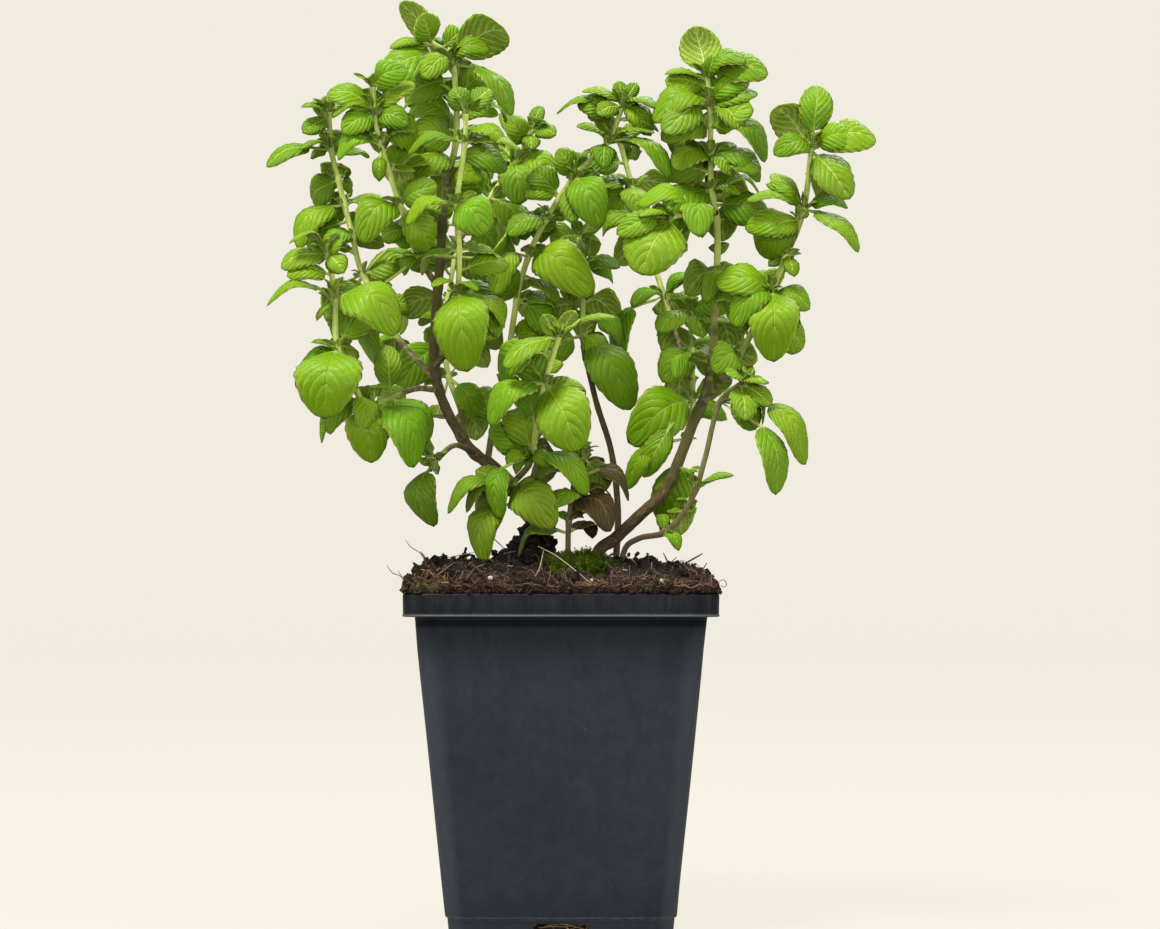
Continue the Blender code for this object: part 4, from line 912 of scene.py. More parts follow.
# %% More leaves
MORE_LEAVES = {
    "shoot_left_crown": [
        (1, -33.5, 210.5, 15.6, 7.7, TOP), (1.5, -42.7, 216.4, -1.1, 10.1, FRONT),
        (1.5, -14.8, 219, 7, 9.4, FRONT), (2, -42.5, 228.4, -2.1, 10, FRONT),
        (2, -40.3, 231.7, 12.1, 9.5, TOP), (2.5, -43.1, 234.9, 4.4, 9.7, UP_FRONT),
        (2.5, -18, 234.3, 2.3, 7.5, UP_FRONT), (3, -17.3, 244.4, 10.1, 11.4, UP_FRONT),
        (3.5, -44.7, 237.2, 6.9, 10.4, FRONT), (3.5, -32, 237.9, 10.9, 6.5, TOP),
        (4, -28.6, 244.1, 13, 8.5, TOP), (4, -20.5, 252.2, -0.4, 7, FRONT),
        (4.5, -26.9, 256.3, 8.1, 6.8, FRONT), (5, -45.7, 245.4, 1.5, 7.9, FRONT),
        (5, -34.9, 250.3, 12.5, 6.7, UP),
    ],
    "shoot_left_front": [
        (1.5, -18.3, 170.7, -10.9, 7.8, FRONT), (2, -15.2, 174.1, -12.9, 9.6, UP),
        (2.5, -14.7, 191.3, -12, 7.7, FRONT), (5, -22.4, 223.9, -13, 5.5, FRONT),
        (5.5, -15.7, 225.7, -20.8, 8.4, UP), (6, -14.7, 232.7, -15.1, 6.5, TOP),
    ],
    "shoot_far_left": [
        (1, -52.4, 167.7, 15.5, 4.6, UP), (1, -46.9, 162.4, 25.4, 7.6, UP), (1.5, -44.4, 172, 26, 6, UP),
        (1.5, -42.6, 178.4, 26, 6.7, FRONT), (2, -61.3, 176.9, 28.7, 8.3, FRONT),
        (2, -51, 183.9, 36.3, 10, UP), (2, -44.2, 192.2, 23.1, 9.1, FRONT),
        (2.5, -69, 192.7, 32.5, 9.2, UP), (3, -52.5, 202.3, 37.2, 10.7, UP_FRONT),
        (3.5, -72.6, 196, 31, 11.4, FRONT), (4, -63.8, 202.4, 37.1, 7.6, TOP),
        (4.5, -64.1, 208, 31.2, 4.2, UP), (5.5, -64.8, 213.1, 36.2, 6.9, TOP),
        (5.5, -60.4, 216.1, 31.8, 4.8, UP_FRONT), (6, -71.2, 221.4, 27.6, 4.1, UP_FRONT),
        (6.5, -63.5, 224.2, 35.8, 8.7, TOP), (7, -66.8, 233.3, 35.5, 8, UP),
    ],
    "shoot_left_inner": [
        (1, -46.6, 204.3, 5.1, 9.6, FRONT), (1, -45, 188.4, -2.1, 4.5, UP),
        (1.5, -51.2, 198.9, -3.3, 5.9, FRONT), (2, -37.2, 212.5, -0.1, 9.2, TOP),
        (2, -35.5, 213.6, -12.6, 8.5, FRONT), (2.5, -45.4, 213.8, 1.2, 10.4, TOP),
        (2.5, -40.4, 224.3, -2.4, 10.1, UP), (3, -59.3, 228.2, -3, 9.5, UP), (3, -51.1, 223.7, -3, 6.4, UP),
        (3.5, -39.8, 225.8, -6.5, 9.8, FRONT), (4, -64.7, 233.6, -15.7, 6.4, UP),
        (5, -55, 234.9, -3.2, 6.9, TOP), (5, -44.2, 246.8, -15.7, 8, FRONT),
    ],
    "shoot_lower_left": [
        (1, -51.8, 149, 3.4, 8.2, FRONT), (1.5, -49.7, 168.2, -9.5, 7.7, UP_FRONT),
        (1.5, -37.7, 141.1, -10.4, 10.7, FRONT), (2, -56.3, 156.5, -8.7, 6.4, UP),
        (2, -54.6, 136.4, -15.2, 9.7, UP), (2.5, -67.1, 144, -14, 9.7, UP_FRONT),
        (3, -70.8, 154, -18.2, 8.4, UP_FRONT), (3.5, -74.6, 162.8, -15.8, 9.9, UP),
        (4, -61.5, 161.8, -7.8, 8.9, UP), (4.5, -61.2, 169.1, -8.2, 8.3, TOP),
        (5, -59.9, 185.5, -11.3, 7.6, TOP), (5.5, -77.4, 188.5, -22.7, 8.1, UP_FRONT),
        (6, -76.4, 198.3, -23.9, 6.5, TOP),
    ],
    "shoot_left_rear": [
        (1, -23.6, 142.3, 24.9, 8.5, TOP), (1, -15.4, 151.8, 20.6, 9, FRONT),
        (2, -38.7, 157.2, 24.4, 6.6, UP_FRONT), (3.5, -39.2, 174.7, 35.6, 8.1, TOP),
        (3.5, -33.7, 164.1, 35.5, 10.4, TOP), (4, -18, 181.4, 25.2, 9.7, FRONT),
        (4.5, -44.8, 194.6, 31.4, 8.8, UP), (5, -40.8, 198.8, 34.1, 8.8, UP),
        (5.5, -21, 198.7, 37.3, 6.3, UP_FRONT), (6, -40.6, 206.7, 33.6, 8.6, FRONT),
    ],
    "shoot_left_back": [
        (2.5, -11.5, 197.3, 25.6, 8.4, UP_FRONT), (3, -32.4, 219.4, 26.2, 9.7, FRONT),
        (3.5, -19, 207.2, 37.6, 7.9, TOP), (4, -20.4, 216.3, 38.1, 7, UP_FRONT),
        (4.5, -16.7, 233.4, 25.8, 7.5, FRONT), (4.5, -8, 219.6, 37.7, 6.3, TOP),
        (5, -11, 227.6, 40.3, 8.8, TOP),
    ],
    "shoot_low_left": [(1.5, -24.8, 122.2, -6.4, 6.6, FRONT), (2, -4.9, 127, -10.8, 4.7, UP_FRONT)],
    "shoot_stalk_left": [(2, -45.4, 141.4, -2.5, 7.9, UP_FRONT)],
    "shoot_centre": [
        (1, -11.8, 139.6, -3.1, 5, TOP), (1.5, -13, 132.4, -10.9, 3.8, TOP),
        (2, -13.6, 150.9, -4.3, 11.1, UP_FRONT), (2.5, -10.8, 158.8, -8.1, 9.6, FRONT),
        (3, 7.3, 143.6, -21.4, 9.1, UP_FRONT), (3.5, -11.8, 166.8, -13.4, 10.7, UP_FRONT),
        (3.5, 5.2, 154.4, -10.9, 10.2, UP_FRONT), (4, -1.1, 163.9, -14.5, 5.3, FRONT),
        (4.5, -12, 167.2, -18, 5.7, UP_FRONT),
    ],
    "shoot_middle": [
        (2, -14.9, 155.9, 20.8, 6.2, UP), (2.5, -6.8, 171, 20.7, 7.5, FRONT),
        (3, -10.7, 177, 19.3, 4.4, TOP), (3, -2.6, 172.1, 21.1, 10.3, FRONT),
        (3.5, -14.2, 184.2, 24.5, 10.9, TOP), (3.5, -0.1, 181.2, 11.2, 9.1, UP),
        (4, -6.3, 195, 22.8, 7.8, UP), (4.5, -5.5, 198.6, 21.2, 7.7, UP_FRONT),
        (4.5, -4.9, 206, 17.1, 8.2, UP_FRONT), (5, -6.6, 205.4, 13.6, 4.1, UP),
        (5.5, -10.6, 211.4, 6.5, 6.8, UP_FRONT), (5.5, -8.9, 217.5, 8.8, 7.9, FRONT),
        (6, 11.7, 213.1, 9.1, 6.6, FRONT), (6.5, 3.1, 219.2, 13.7, 8.7, TOP),
        (7, 9.1, 232.8, 8.7, 7.4, TOP), (7, 21.8, 221.4, 8.4, 6.6, UP_FRONT),
        (7.5, 5, 237.8, 2.5, 7.5, FRONT), (7.5, 27.8, 229.6, 0.3, 8.2, UP),
        (8, 25.6, 227.9, -1, 7.2, FRONT), (8, 27.4, 235.7, -5.1, 7.2, UP),
    ],
    "shoot_middle_back": [
        (1, -6.6, 164.1, 22.6, 10.2, FRONT), (1, 13.8, 166.6, 20.9, 6.6, FRONT),
        (1.5, 6.6, 170.6, 30, 8.2, UP), (1.5, 18, 169.1, 21.9, 7.4, UP_FRONT),
        (2.5, 4.4, 179.6, 30.2, 9.5, UP), (3, 15.3, 186.7, 25.4, 6.5, UP_FRONT),
        (3.5, -1.3, 187.5, 28, 8, TOP), (4, 8.5, 194.2, 30.7, 7.8, UP),
    ],
    "shoot_right_tall": [
        (1, 41.3, 160.6, 15.3, 8.1, UP), (1.5, 47.5, 168.4, 14.9, 11.5, TOP),
        (2, 49.4, 190.5, 5.7, 4.4, TOP), (2.5, 45.2, 194.5, 10.4, 5.7, TOP), (3, 46.1, 199, 12, 9.4, UP),
        (3.5, 35.7, 209.1, 9.5, 9, FRONT), (3.5, 59.3, 204, -0.7, 10.2, FRONT),
        (4, 46.3, 217.4, 8.1, 7.4, UP), (4, 57.2, 210.9, 0.8, 9.6, UP), (4.5, 28.7, 217.9, 7.4, 9.9, FRONT),
        (4.5, 36, 212.3, 12.5, 11.8, UP), (5, 49.6, 225.3, 1.2, 5.7, UP_FRONT),
        (5, 56.7, 215.8, -2.7, 8.6, UP_FRONT), (5.5, 29, 227.2, -5.2, 10.3, FRONT),
        (5.5, 31.6, 223.8, 9.1, 10.7, UP), (5.5, 53.9, 235, -7.1, 10, FRONT),
        (6, 52.8, 242.8, -3.3, 7.2, FRONT), (6.5, 29.6, 243.5, -0.9, 8.6, FRONT),
        (6.5, 53.5, 237, -1.2, 7.8, UP_FRONT), (7, 40.9, 238.3, 8.9, 8.1, TOP),
        (7, 51.6, 249.5, -5, 8.2, UP_FRONT),
    ],
    "shoot_right_outer": [
        (1, 45.6, 168, -2.3, 3.7, TOP), (1.5, 47.4, 178.3, -6.5, 6.8, UP_FRONT),
        (2, 69.3, 167.7, -6.2, 11.1, FRONT), (2.5, 58.7, 188.1, -0.7, 9.8, TOP),
        (3, 44.4, 186.5, -15.9, 10.4, FRONT), (4, 63.3, 189.8, -5.7, 4.6, UP),
        (4.5, 52.5, 202, -14.6, 8.7, FRONT), (5, 58.7, 214.4, -14.3, 7.3, UP_FRONT),
        (5, 81.3, 208.1, -12.9, 7, UP_FRONT), (5.5, 73.9, 210.1, -4.8, 7.6, UP),
        (5.5, 82.1, 219.1, -12.8, 8, FRONT), (6, 60.9, 222.8, -17.9, 8.1, FRONT),
        (6, 83.5, 227.6, -14.6, 8.6, FRONT),
    ],
    "shoot_right_inner": [
        (1.5, 46.4, 148.2, 7.8, 6.7, UP_FRONT), (2, 48.1, 158.7, 12.3, 7.6, FRONT),
        (2.5, 32.8, 151.6, 27.3, 9.6, TOP), (4, 46.8, 178.2, 14.5, 7.9, FRONT),
    ],
    "shoot_right_back": [
        (1, 48.3, 164.9, 26.9, 9.5, UP_FRONT), (1.5, 32.1, 162.9, 37, 10.2, TOP),
        (2, 40.6, 189.2, 32.6, 8.8, TOP), (3, 36.3, 203.2, 36.4, 8.6, UP_FRONT),
        (3.5, 11, 200.3, 39.4, 8.3, UP_FRONT), (4, 12.5, 206.2, 40.5, 8.6, FRONT),
        (4.5, 6.6, 219.6, 34.6, 7.8, FRONT), (4.5, 22.2, 223.6, 37.5, 5.2, UP_FRONT),
        (5, 18.1, 223.5, 39.3, 4.5, UP_FRONT),
    ],
    "shoot_right_side": [(1, 40.4, 198.7, -9.4, 4.1, UP_FRONT), (2, 25.5, 202.7, -5.5, 6.9, FRONT)],
    "shoot_right_low": [
        (3.5, 29, 115.5, -4.7, 4.9, TOP), (4, 33.6, 115.8, -1.8, 8.5, UP), (4.5, 34.6, 120, -2.4, 6.5, TOP),
        (5.5, 36.6, 130.8, -6.6, 3.7, UP_FRONT), (7.5, 55.3, 144.3, -13.3, 8, FRONT),
        (7.5, 58, 146.6, -13.8, 8.1, TOP),
    ],
    "shoot_low_middle": [
        (1.5, -12.8, 109.9, -6, 9.8, TOP), (1.5, 9.3, 114.8, -2.8, 6.4, UP), (2, 10, 123.4, -2, 7.7, UP),
        (3, 14.1, 126.7, -8.5, 8, UP), (4, -4.2, 135.7, -5.1, 7.1, TOP), (4.5, 9.8, 130.6, -1.4, 7.4, TOP),
    ],
}
print(sum(map(len, MORE_LEAVES.values())), "more leaves")

# %% [markdown]
# ## Finding each leaf on its solid
#
# Where two shoots would have crossed, the solids' leaves were turned aside a little. The fine leaves must
# lie on the same places, so each leaf tries the same few turns and takes the one whose tip and edges lie on
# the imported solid. A search tree of the solid's faces answers how far a point is from it.

# %% Leaf sizes and turns
ROOT_SINK, PAIR_STEP, PARTNER = 0.15, 1.7, 0.9
ARCH, CURL = 0.2, 0.3
BLADE_RATIO, NECK_RANGE = 1.45, (0.14, 0.6)
SWINGS = [(0, 0), (10, 0), (-10, 0), (0, 10), (0, -10), (14, 14), (-14, 14), (14, -14), (-14, -14),
          (22, 0), (-22, 0), (0, 22), (0, -22), (30, 15), (-30, 15), (30, -15), (-30, -15),
          (42, 0), (-42, 0), (0, 36), (0, -36)]


def neck_of(root, tip, width):
    """The share of the leaf's length that is stalk."""
    return min(max(1.0 - BLADE_RATIO * width / (tip - root).length, NECK_RANGE[0]), NECK_RANGE[1])


def leaf_points(root, tip, width, face):
    """The tip and two places on the edges of a leaf, to compare with the solid."""
    chord = tip - root
    along = chord.normalized()
    up = Vector(face)
    up = (up - along * up.dot(along)).normalized()
    side = along.cross(up)
    neck = neck_of(root, tip, width)
    points = [tip]
    for v, hand in ((0.42, -1), (0.42, 1)):
        u = neck + (1 - neck) * v
        half = 0.5 * width * math.sin(math.pi * v ** 0.72) ** 0.75
        rise = ARCH * chord.length * math.sin(math.pi * u ** 1.15) - CURL * half
        points.append(root + chord * u + side * (half * hand) + up * rise)
    return points


def swung(root, tip, face, swing):
    """The tip and face after a turn round the upright and then up or down."""
    turn = Matrix.Rotation(math.radians(swing[0]), 3, "Z")
    reach = turn @ (tip - root)
    level = reach.cross(Vector((0, 0, 1)))
    tilt = Matrix.Rotation(math.radians(swing[1]), 3, level) if level.length > 0.01 else Matrix.Identity(3)
    return root + tilt @ reach, tilt @ turn @ Vector(face)


def opposite(root, tip, face, stem):
    """The partner on the other side of the stem."""
    reach = tip - root
    lift = stem * reach.dot(stem)
    return root + lift - (reach - lift) * PARTNER, (-face[0], -face[1], face[2])


def solid_tree(node):
    mesh = solids[node].data
    verts = [v.co / MM for v in mesh.vertices]
    return BVHTree.FromPolygons(verts, [tuple(p.vertices) for p in mesh.polygons])


def place_leaves(name):
    """Every main leaf of a shoot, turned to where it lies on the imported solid."""
    nodes = SHOOTS[name]["nodes"]
    places = [seen(*node[:3]) for node in nodes]
    coarse = smooth_route(places, 10.5)
    surface = solid_tree(name)
    leaves = []
    for k, node in enumerate(nodes):
        stem = (places[min(k + 1, len(nodes) - 1)] - places[max(k - 1, 0)]).normalized()
        grown = [(seen(*leaf[:3]), leaf[3], leaf[4]) for leaf in node[3:]]
        if len(grown) == 1:
            tip, face = opposite(places[k], grown[0][0], grown[0][2], stem)
            grown.append((tip, grown[0][1] * PARTNER, face))
        here = min(range(1, len(coarse)), key=lambda i: (coarse[i] - places[k]).length)
        down = (coarse[here - 1] - coarse[here]).normalized()
        for i, (tip, width, face) in enumerate(grown):
            heart = places[k] + down * (i // 2) * PAIR_STEP
            root = heart + (tip - heart).normalized() * ROOT_SINK
            tries = []
            for swing in SWINGS:
                new_tip, new_face = swung(root, tip, face, swing)
                miss = sum(surface.find_nearest(p)[3] for p in leaf_points(root, new_tip, width, new_face))
                tries.append((miss, len(tries), new_tip, new_face))
            miss, _, new_tip, new_face = min(tries)
            leaves.append(dict(root=root, tip=new_tip, face=new_face, width=width, node=k, miss=miss))
    return leaves


main_leaves = {name: place_leaves(name) for name in SHOOTS}
worst = max(leaf["miss"] for leaves in main_leaves.values() for leaf in leaves)
print(sum(map(len, main_leaves.values())), "main leaves, the worst", round(worst, 2), "mm off in all")

# %% [markdown]
# ## One leaf form for every leaf
#
# A leaf could be sculpted once and copied, but copies show. Here the form is a formula in a geometry tree:
# a flat strip of faces is copied to every leaf's root, and each point works out where it belongs from its
# place along and across the strip and from the leaf's own values: root, tip, face, width, stalk, fold, age
# and a random seed. The formula gives the egg-shaped outline with blunt teeth, the arch along the leaf,
# edges that roll down, a sunken midrib, side veins that curve forward with swollen fields between them, and
# a slow wave. A second, flipped strip is the underside. Both meet at the rim, so the blade is closed and
# thin.

# %% Leaf tree
LEAF_FORMS = (
    dict(stalk_rows=4, rows=30, columns=12, teeth=7.0),
    dict(stalk_rows=3, rows=22, columns=10, teeth=6.0),
    dict(stalk_rows=2, rows=11, columns=6, teeth=4.0),
    dict(stalk_rows=1, rows=6, columns=4, teeth=2.0),
)


def blade_strip(tree, stalk_rows, rows, columns, teeth):
    """A flat strip with its place along (0 to 1) and across (-1 to 1) stored on its points."""
    counts = {"Size X": 2.0, "Size Y": 1.0, "Vertices X": columns + 1, "Vertices Y": rows + stalk_rows + 1}
    strip = add(tree, "GeometryNodeMeshGrid", counts).outputs["Mesh"]
    place = add(tree, "GeometryNodeInputPosition").outputs["Position"]
    x, y, _ = axes(tree, place)
    strip = store(tree, strip, "across", x)
    strip = store(tree, strip, "along", y + 0.5)
    strip = store(tree, strip, "stalk_share", stalk_rows / (rows + stalk_rows))
    strip = store(tree, strip, "teeth", teeth)
    return through(tree, "GeometryToInstance", strip)


def vein_field(across, blade, count):
    """0 on a side vein and 1 midway between two, for veins that leave the midrib and curve forward."""
    turn = (blade - abs(across) * 0.3 - across * across * 0.2) * count
    return abs((turn * math.pi).sin())


def leaf_tree():
    tree, given, end = geometry_tree(
        "leaves", ("Arch", "Float", 0.34), ("Droop", "Float", 0.15), ("Curl", "Float", 0.3),
        ("Tooth depth", "Float", 0.075), ("Quilting", "Float", 0.05), ("Side veins", "Float", 6.0),
        ("Blade", "Float", 0.00032), ("Stalk", "Float", 0.0008), ("Upper side", "Material"),
        ("Underside", "Material"),
    )
    strips = join(tree, *[blade_strip(tree, **form) for form in reversed(LEAF_FORMS)])
    roots = add(tree, "GeometryNodeInstanceOnPoints", {"Points": given["Geometry"], "Instance": strips})
    roots.inputs["Pick Instance"].default_value = True
    feed(roots.inputs["Instance Index"], named(tree, "form", kind="INT"))
    copies = through(tree, "RealizeInstances", roots.outputs["Instances"])

    root, tip, face = named(tree, "root", "tip", "face", kind="FLOAT_VECTOR")
    t, v, share, teeth = named(tree, "along", "across", "stalk_share", "teeth")
    width, neck, seed, fold, age = named(tree, "width", "neck", "seed", "fold", "age")
    chord = tip - root
    length = chord.length()
    along = chord.unit()
    up = (face - along * face.dot(along)).unit()
    side = along.cross(up)

    blade = ((t - share) / (1.0 - share)).most(0.0)
    u = neck * (t / share).least(1.0) + (1.0 - neck) * blade
    oval = ((blade ** 0.94) * math.pi).sin() ** 0.5
    stalk_half = given["Stalk"] * 0.5 * blade.ramp(0.0, 0.3, 1.0, 0.0)
    tooth = (blade * teeth + 0.02).fraction() ** 0.8
    tooth = tooth * blade.ramp(0.05, 0.22) * blade.ramp(0.86, 0.98, 1.0, 0.0)
    edge = abs(v)
    half = width * 0.5 * oval
    spread = half * (1.0 + given["Tooth depth"] * tooth * edge ** 4.0) + stalk_half

    on_blade = blade.ramp(0.0, 0.12)
    limp = age.ramp(0.2, 0.55, 0.45, 1.0)
    arch = ((u ** 1.25) * math.pi).sin() * length * given["Arch"] * limp
    roll = half * given["Curl"] * (edge ** 2.0) * -1.0
    off_rib = v * half / 0.0007
    gutter = (off_rib * off_rib * -1.0).exp() * -0.00034 * on_blade
    stalk_gutter = (1.0 - on_blade) * (edge * edge) * 0.00022
    field = vein_field(v, blade, given["Side veins"]) ** 0.8
    inside = edge.ramp(0.02, 0.22) * edge.ramp(0.7, 1.0, 1.0, 0.0) * (blade * math.pi).sin().most(0.0) ** 0.5
    quilt = (field - 0.62) * half * given["Quilting"] * 1.7 * inside
    wave = (blade * 7.4 + seed * 40.0 + v * 1.2).sin() * half * 0.04 * (edge ** 2.2) * on_blade
    tilt = v * half * 0.26 * (seed * 91.0).sin() * on_blade
    folded = edge * half * fold * on_blade
    droop = blade.ramp(0.45, 1.25) * length * given["Droop"] * limp * -1.0
    rise = arch + roll + gutter + stalk_gutter + quilt + wave + tilt + folded + droop
    bend = (blade * blade) * (seed * 57.0).sin() * width * 0.05 * (1.0 - blade) * 4.0
    place = root + along * (length * u) + side * (v * spread + bend) + up * rise
    shaped = through(tree, "SetPosition", copies, Position=place)
    shaped = store(tree, shaped, "blade", blade)
    shaped = store(tree, shaped, "half_mm", (half + stalk_half) * 1000.0)

    thin = given["Blade"] * 0.5 * on_blade + given["Stalk"] * 0.5 * (1.0 - on_blade)
    inner = edge.ramp(0.995, 0.999, 1.0, 0.0) * t.ramp(0.995, 0.999, 1.0, 0.0) * t.above(0.001)
    normal = Field(add(tree, "GeometryNodeInputNormal").outputs["Normal"])
    offset = normal * (thin * inner)
    under = through(tree, "FlipFaces", shaped)
    sides = []
    for surface, finish in ((shaped, given["Upper side"]), (under, given["Underside"])):
        moved = through(tree, "SetPosition", surface, Offset=offset)
        sides.append(through(tree, "SetMaterial", moved, Material=finish))
    closed = through(tree, "MergeByDistance", join(tree, *sides), Distance=0.000008)
    feed(end.inputs["Geometry"], through(tree, "SetShadeSmooth", closed))
    return tree


leaves_tree = leaf_tree()
print("leaf tree:", len(leaves_tree.nodes), "nodes")

# %% [markdown]
# ## Stems
#
# Mint-family stems are square. Each is a line of points with a girth on every point, a little swollen where
# leaves sit. The tree turns the line into a curve, sweeps a square with round corners along it and closes
# its ends. Short stiff hairs stand all over the green stems.

# %% Leafy shoot tree
def square_sweep(tree, line, girth, roundness, steps=3):
    """A closed square tube along a line; how far up the stem a point is gets stored as up_stem."""
    curve = through(tree, "MeshToCurve", line)
    factor = Field(add(tree, "GeometryNodeSplineParameter").outputs["Factor"])
    curve = store(tree, curve, "up_stem", factor)
    square = add(tree, "GeometryNodeCurvePrimitiveQuadrilateral", {"Width": 1.8, "Height": 1.8})
    feeds = {"Curve": square.outputs["Curve"], "Radius": roundness, "Count": steps}
    rounded = add(tree, "GeometryNodeFilletCurve", feeds, mode="POLY").outputs["Curve"]
    return through(tree, "CurveToMesh", curve, Profile_Curve=rounded, Scale=girth, Fill_Caps=True)


def hair_layer(tree, surface, density, length, radius, seed):
    """Short hairs that stand on a surface, each turned a little off the upright."""
    feeds = {"Mesh": surface, "Density": density, "Seed": seed}
    spread = add(tree, "GeometryNodeDistributePointsOnFaces", feeds)
    feeds = {"Vertices": 3, "Side Segments": 1, "Radius Top": 0.0, "Radius Bottom": radius, "Depth": length}
    hair = add(tree, "GeometryNodeMeshCone", feeds, fill_type="NONE").outputs["Mesh"]
    turn = leaned(tree, spread.outputs["Rotation"], seed + 1, 0.5)
    hairs = through(tree, "InstanceOnPoints", spread.outputs["Points"], Instance=hair, Rotation=turn)
    return through(tree, "RealizeInstances", hairs)


def shoot_tree():
    tree, given, end = geometry_tree(
        "leafy_shoot", ("Roundness", "Float", 0.5), ("Hair density", "Float", 240000.0),
        ("Hair length", "Float", 0.00055), ("Hair radius", "Float", 0.00003), ("Stem", "Material"),
        ("Hair", "Material"), ("Upper side", "Material"), ("Underside", "Material"),
    )
    parts = add(tree, "GeometryNodeSeparateGeometry", {"Geometry": given["Geometry"]})
    feed(parts.inputs["Selection"], named(tree, "is_leaf").above(0.5))
    stem = square_sweep(tree, parts.outputs["Inverted"], named(tree, "girth"), given["Roundness"])
    stem = through(tree, "SetShadeSmooth", stem)
    hairs = hair_layer(tree, stem, given["Hair density"], given["Hair length"], given["Hair radius"], 3)
    stem = through(tree, "SetMaterial", stem, Material=given["Stem"])
    hairs = through(tree, "SetMaterial", hairs, Material=given["Hair"])
    leaves = add(tree, "GeometryNodeGroup", node_tree=leaves_tree)
    feed(leaves.inputs["Geometry"], parts.outputs["Selection"])
    for label in ("Upper side", "Underside"):
        feed(leaves.inputs[label], given[label])
    feed(end.inputs["Geometry"], join(tree, stem, hairs, leaves.outputs["Geometry"]))
    return tree


leafy_shoot = shoot_tree()
print("shoot tree:", len(leafy_shoot.nodes), "nodes round the leaf tree")

# %% [markdown]
# ## Leaf, stem and hair finishes
#
# A leaf's pattern follows the leaf, so the finishes read the values that the tree left on its points:
# across and along the blade, its half-width in millimetres, its age and a tone that is random, and paler in
# the lower tiers as painted light. The group turns them into masks for midrib, side veins, margin and a net
# of fine veins. The upper side is satin and deep green with paler sunken veins on young leaves; it is painted
# darker towards the stalk as shade, and on older leaves the side veins are painted darker as shade in their
# grooves. The underside is paler, duller, with raised veins. A little light scatters through the blade.

# %% Leaf pattern
def leaf_pattern_group():
    outputs = [(label, "Float") for label in ("Midrib", "Veins", "Fields", "Net", "Margin", "Stalk")]
    tree, given, end = new_tree("leaf_pattern", "ShaderNodeTree", [("Side veins", "Float", 6.0)], outputs)
    across, blade, half = drawn(tree, "across", "blade", "half_mm")
    off_rib = abs(across) * half
    on_blade = blade.ramp(0.0, 0.08)
    rib = off_rib.ramp(0.08, 0.36, 1.0, 0.0) * blade.ramp(0.55, 1.0, 1.0, 0.25)
    fields = vein_field(across, blade, given["Side veins"])
    fade = abs(across).ramp(0.55, 0.98, 1.0, 0.25) * on_blade
    veins = fields.ramp(0.0, 0.34, 1.0, 0.0) * fade
    feeds = {"Vector": object_place(tree), "Scale": 620.0}
    cells = add(tree, "ShaderNodeTexVoronoi", feeds, feature="DISTANCE_TO_EDGE")
    net = Field(cells.outputs["Distance"]).ramp(0.0, 0.12, 1.0, 0.0)
    margin, stalk = abs(across).ramp(0.86, 1.0) * on_blade, blade.ramp(0.0, 0.05, 1.0, 0.0)
    for socket, mask in zip(end.inputs, (rib, veins, fields * on_blade, net * on_blade, margin, stalk)):
        feed(socket, mask)
    return tree


leaf_pattern = leaf_pattern_group()


# %% Leaf finishes
GLOW = dict(Subsurface_Weight=0.3, Subsurface_Scale=0.0007, Subsurface_Radius=(0.6, 1.0, 0.12))


def brown_mask(age, tone):
    """Where the oldest leaves have turned brown."""
    return age.ramp(0.8, 0.95) * tone.ramp(0.5, 0.74) * 0.85


def upper_leaf(name, young, deep, olive, worn, shine):
    material, tree, shader = new_finish(name, Specular_IOR_Level=0.17, **GLOW)
    pattern = use(tree, leaf_pattern)
    cloud = use(tree, mottling, Scale=120.0, Seed=3.0)
    age, tone, blade = drawn(tree, "age", "tone", "blade")
    veins, fields, net, margin = (pattern[label] for label in ("Veins", "Fields", "Net", "Margin"))
    hue = (tone * 7.3).fraction() * 0.75 + cloud["Patches"] * 0.25
    base = layers(
        tree, young,
        (age.ramp(0.0, 0.6), mix(tree, hue, deep, olive)),
        (tone ** 1.4 * 0.65, shade(deep, 0.42)),
        (age.ramp(0.5, 0.9) * tone.ramp(0.3, 0.7), worn),
        (cloud["Patches"] * 0.2 + cloud["Fine"] * 0.2, shade(deep, 0.66)),
        (net * 0.07, shade(deep, 0.5)),
        (fields * (1.0 - margin) * 0.3, shade(deep, 0.62)),
        # Painted shade: darker towards the stalk, where leaves crowd at the nodes, and darker side veins on
        # older leaves, as shade in their grooves.
        (blade.ramp(0.02, 0.45, 0.4, 0.0), shade(deep, 0.45)),
        (veins * age.ramp(0.3, 0.6, 0.0, 0.3), shade(deep, 0.5)),
        (veins * age.ramp(0.12, 0.42, 0.65, 0.1), (0.42, 0.53, 0.07)),
        (brown_mask(age, tone), shade(worn, 0.7)),
        (margin * 0.7 * age.ramp(0.8, 0.95, 1.0, 0.4), (0.46, 0.56, 0.08)),
        (pattern["Midrib"] * age.ramp(0.15, 0.5, 0.6, 0.2), (0.46, 0.56, 0.10)),
        (pattern["Stalk"] * 0.8, (0.36, 0.44, 0.10)),
    )
    height = fields ** 0.5 * 0.7 - net * 0.08 - pattern["Midrib"] * 0.5 + cloud["Fine"] * 0.06
    paint(tree, shader, base, shine + cloud["Fine"] * 0.12 + net * 0.08, height, 0.00042)
    return material


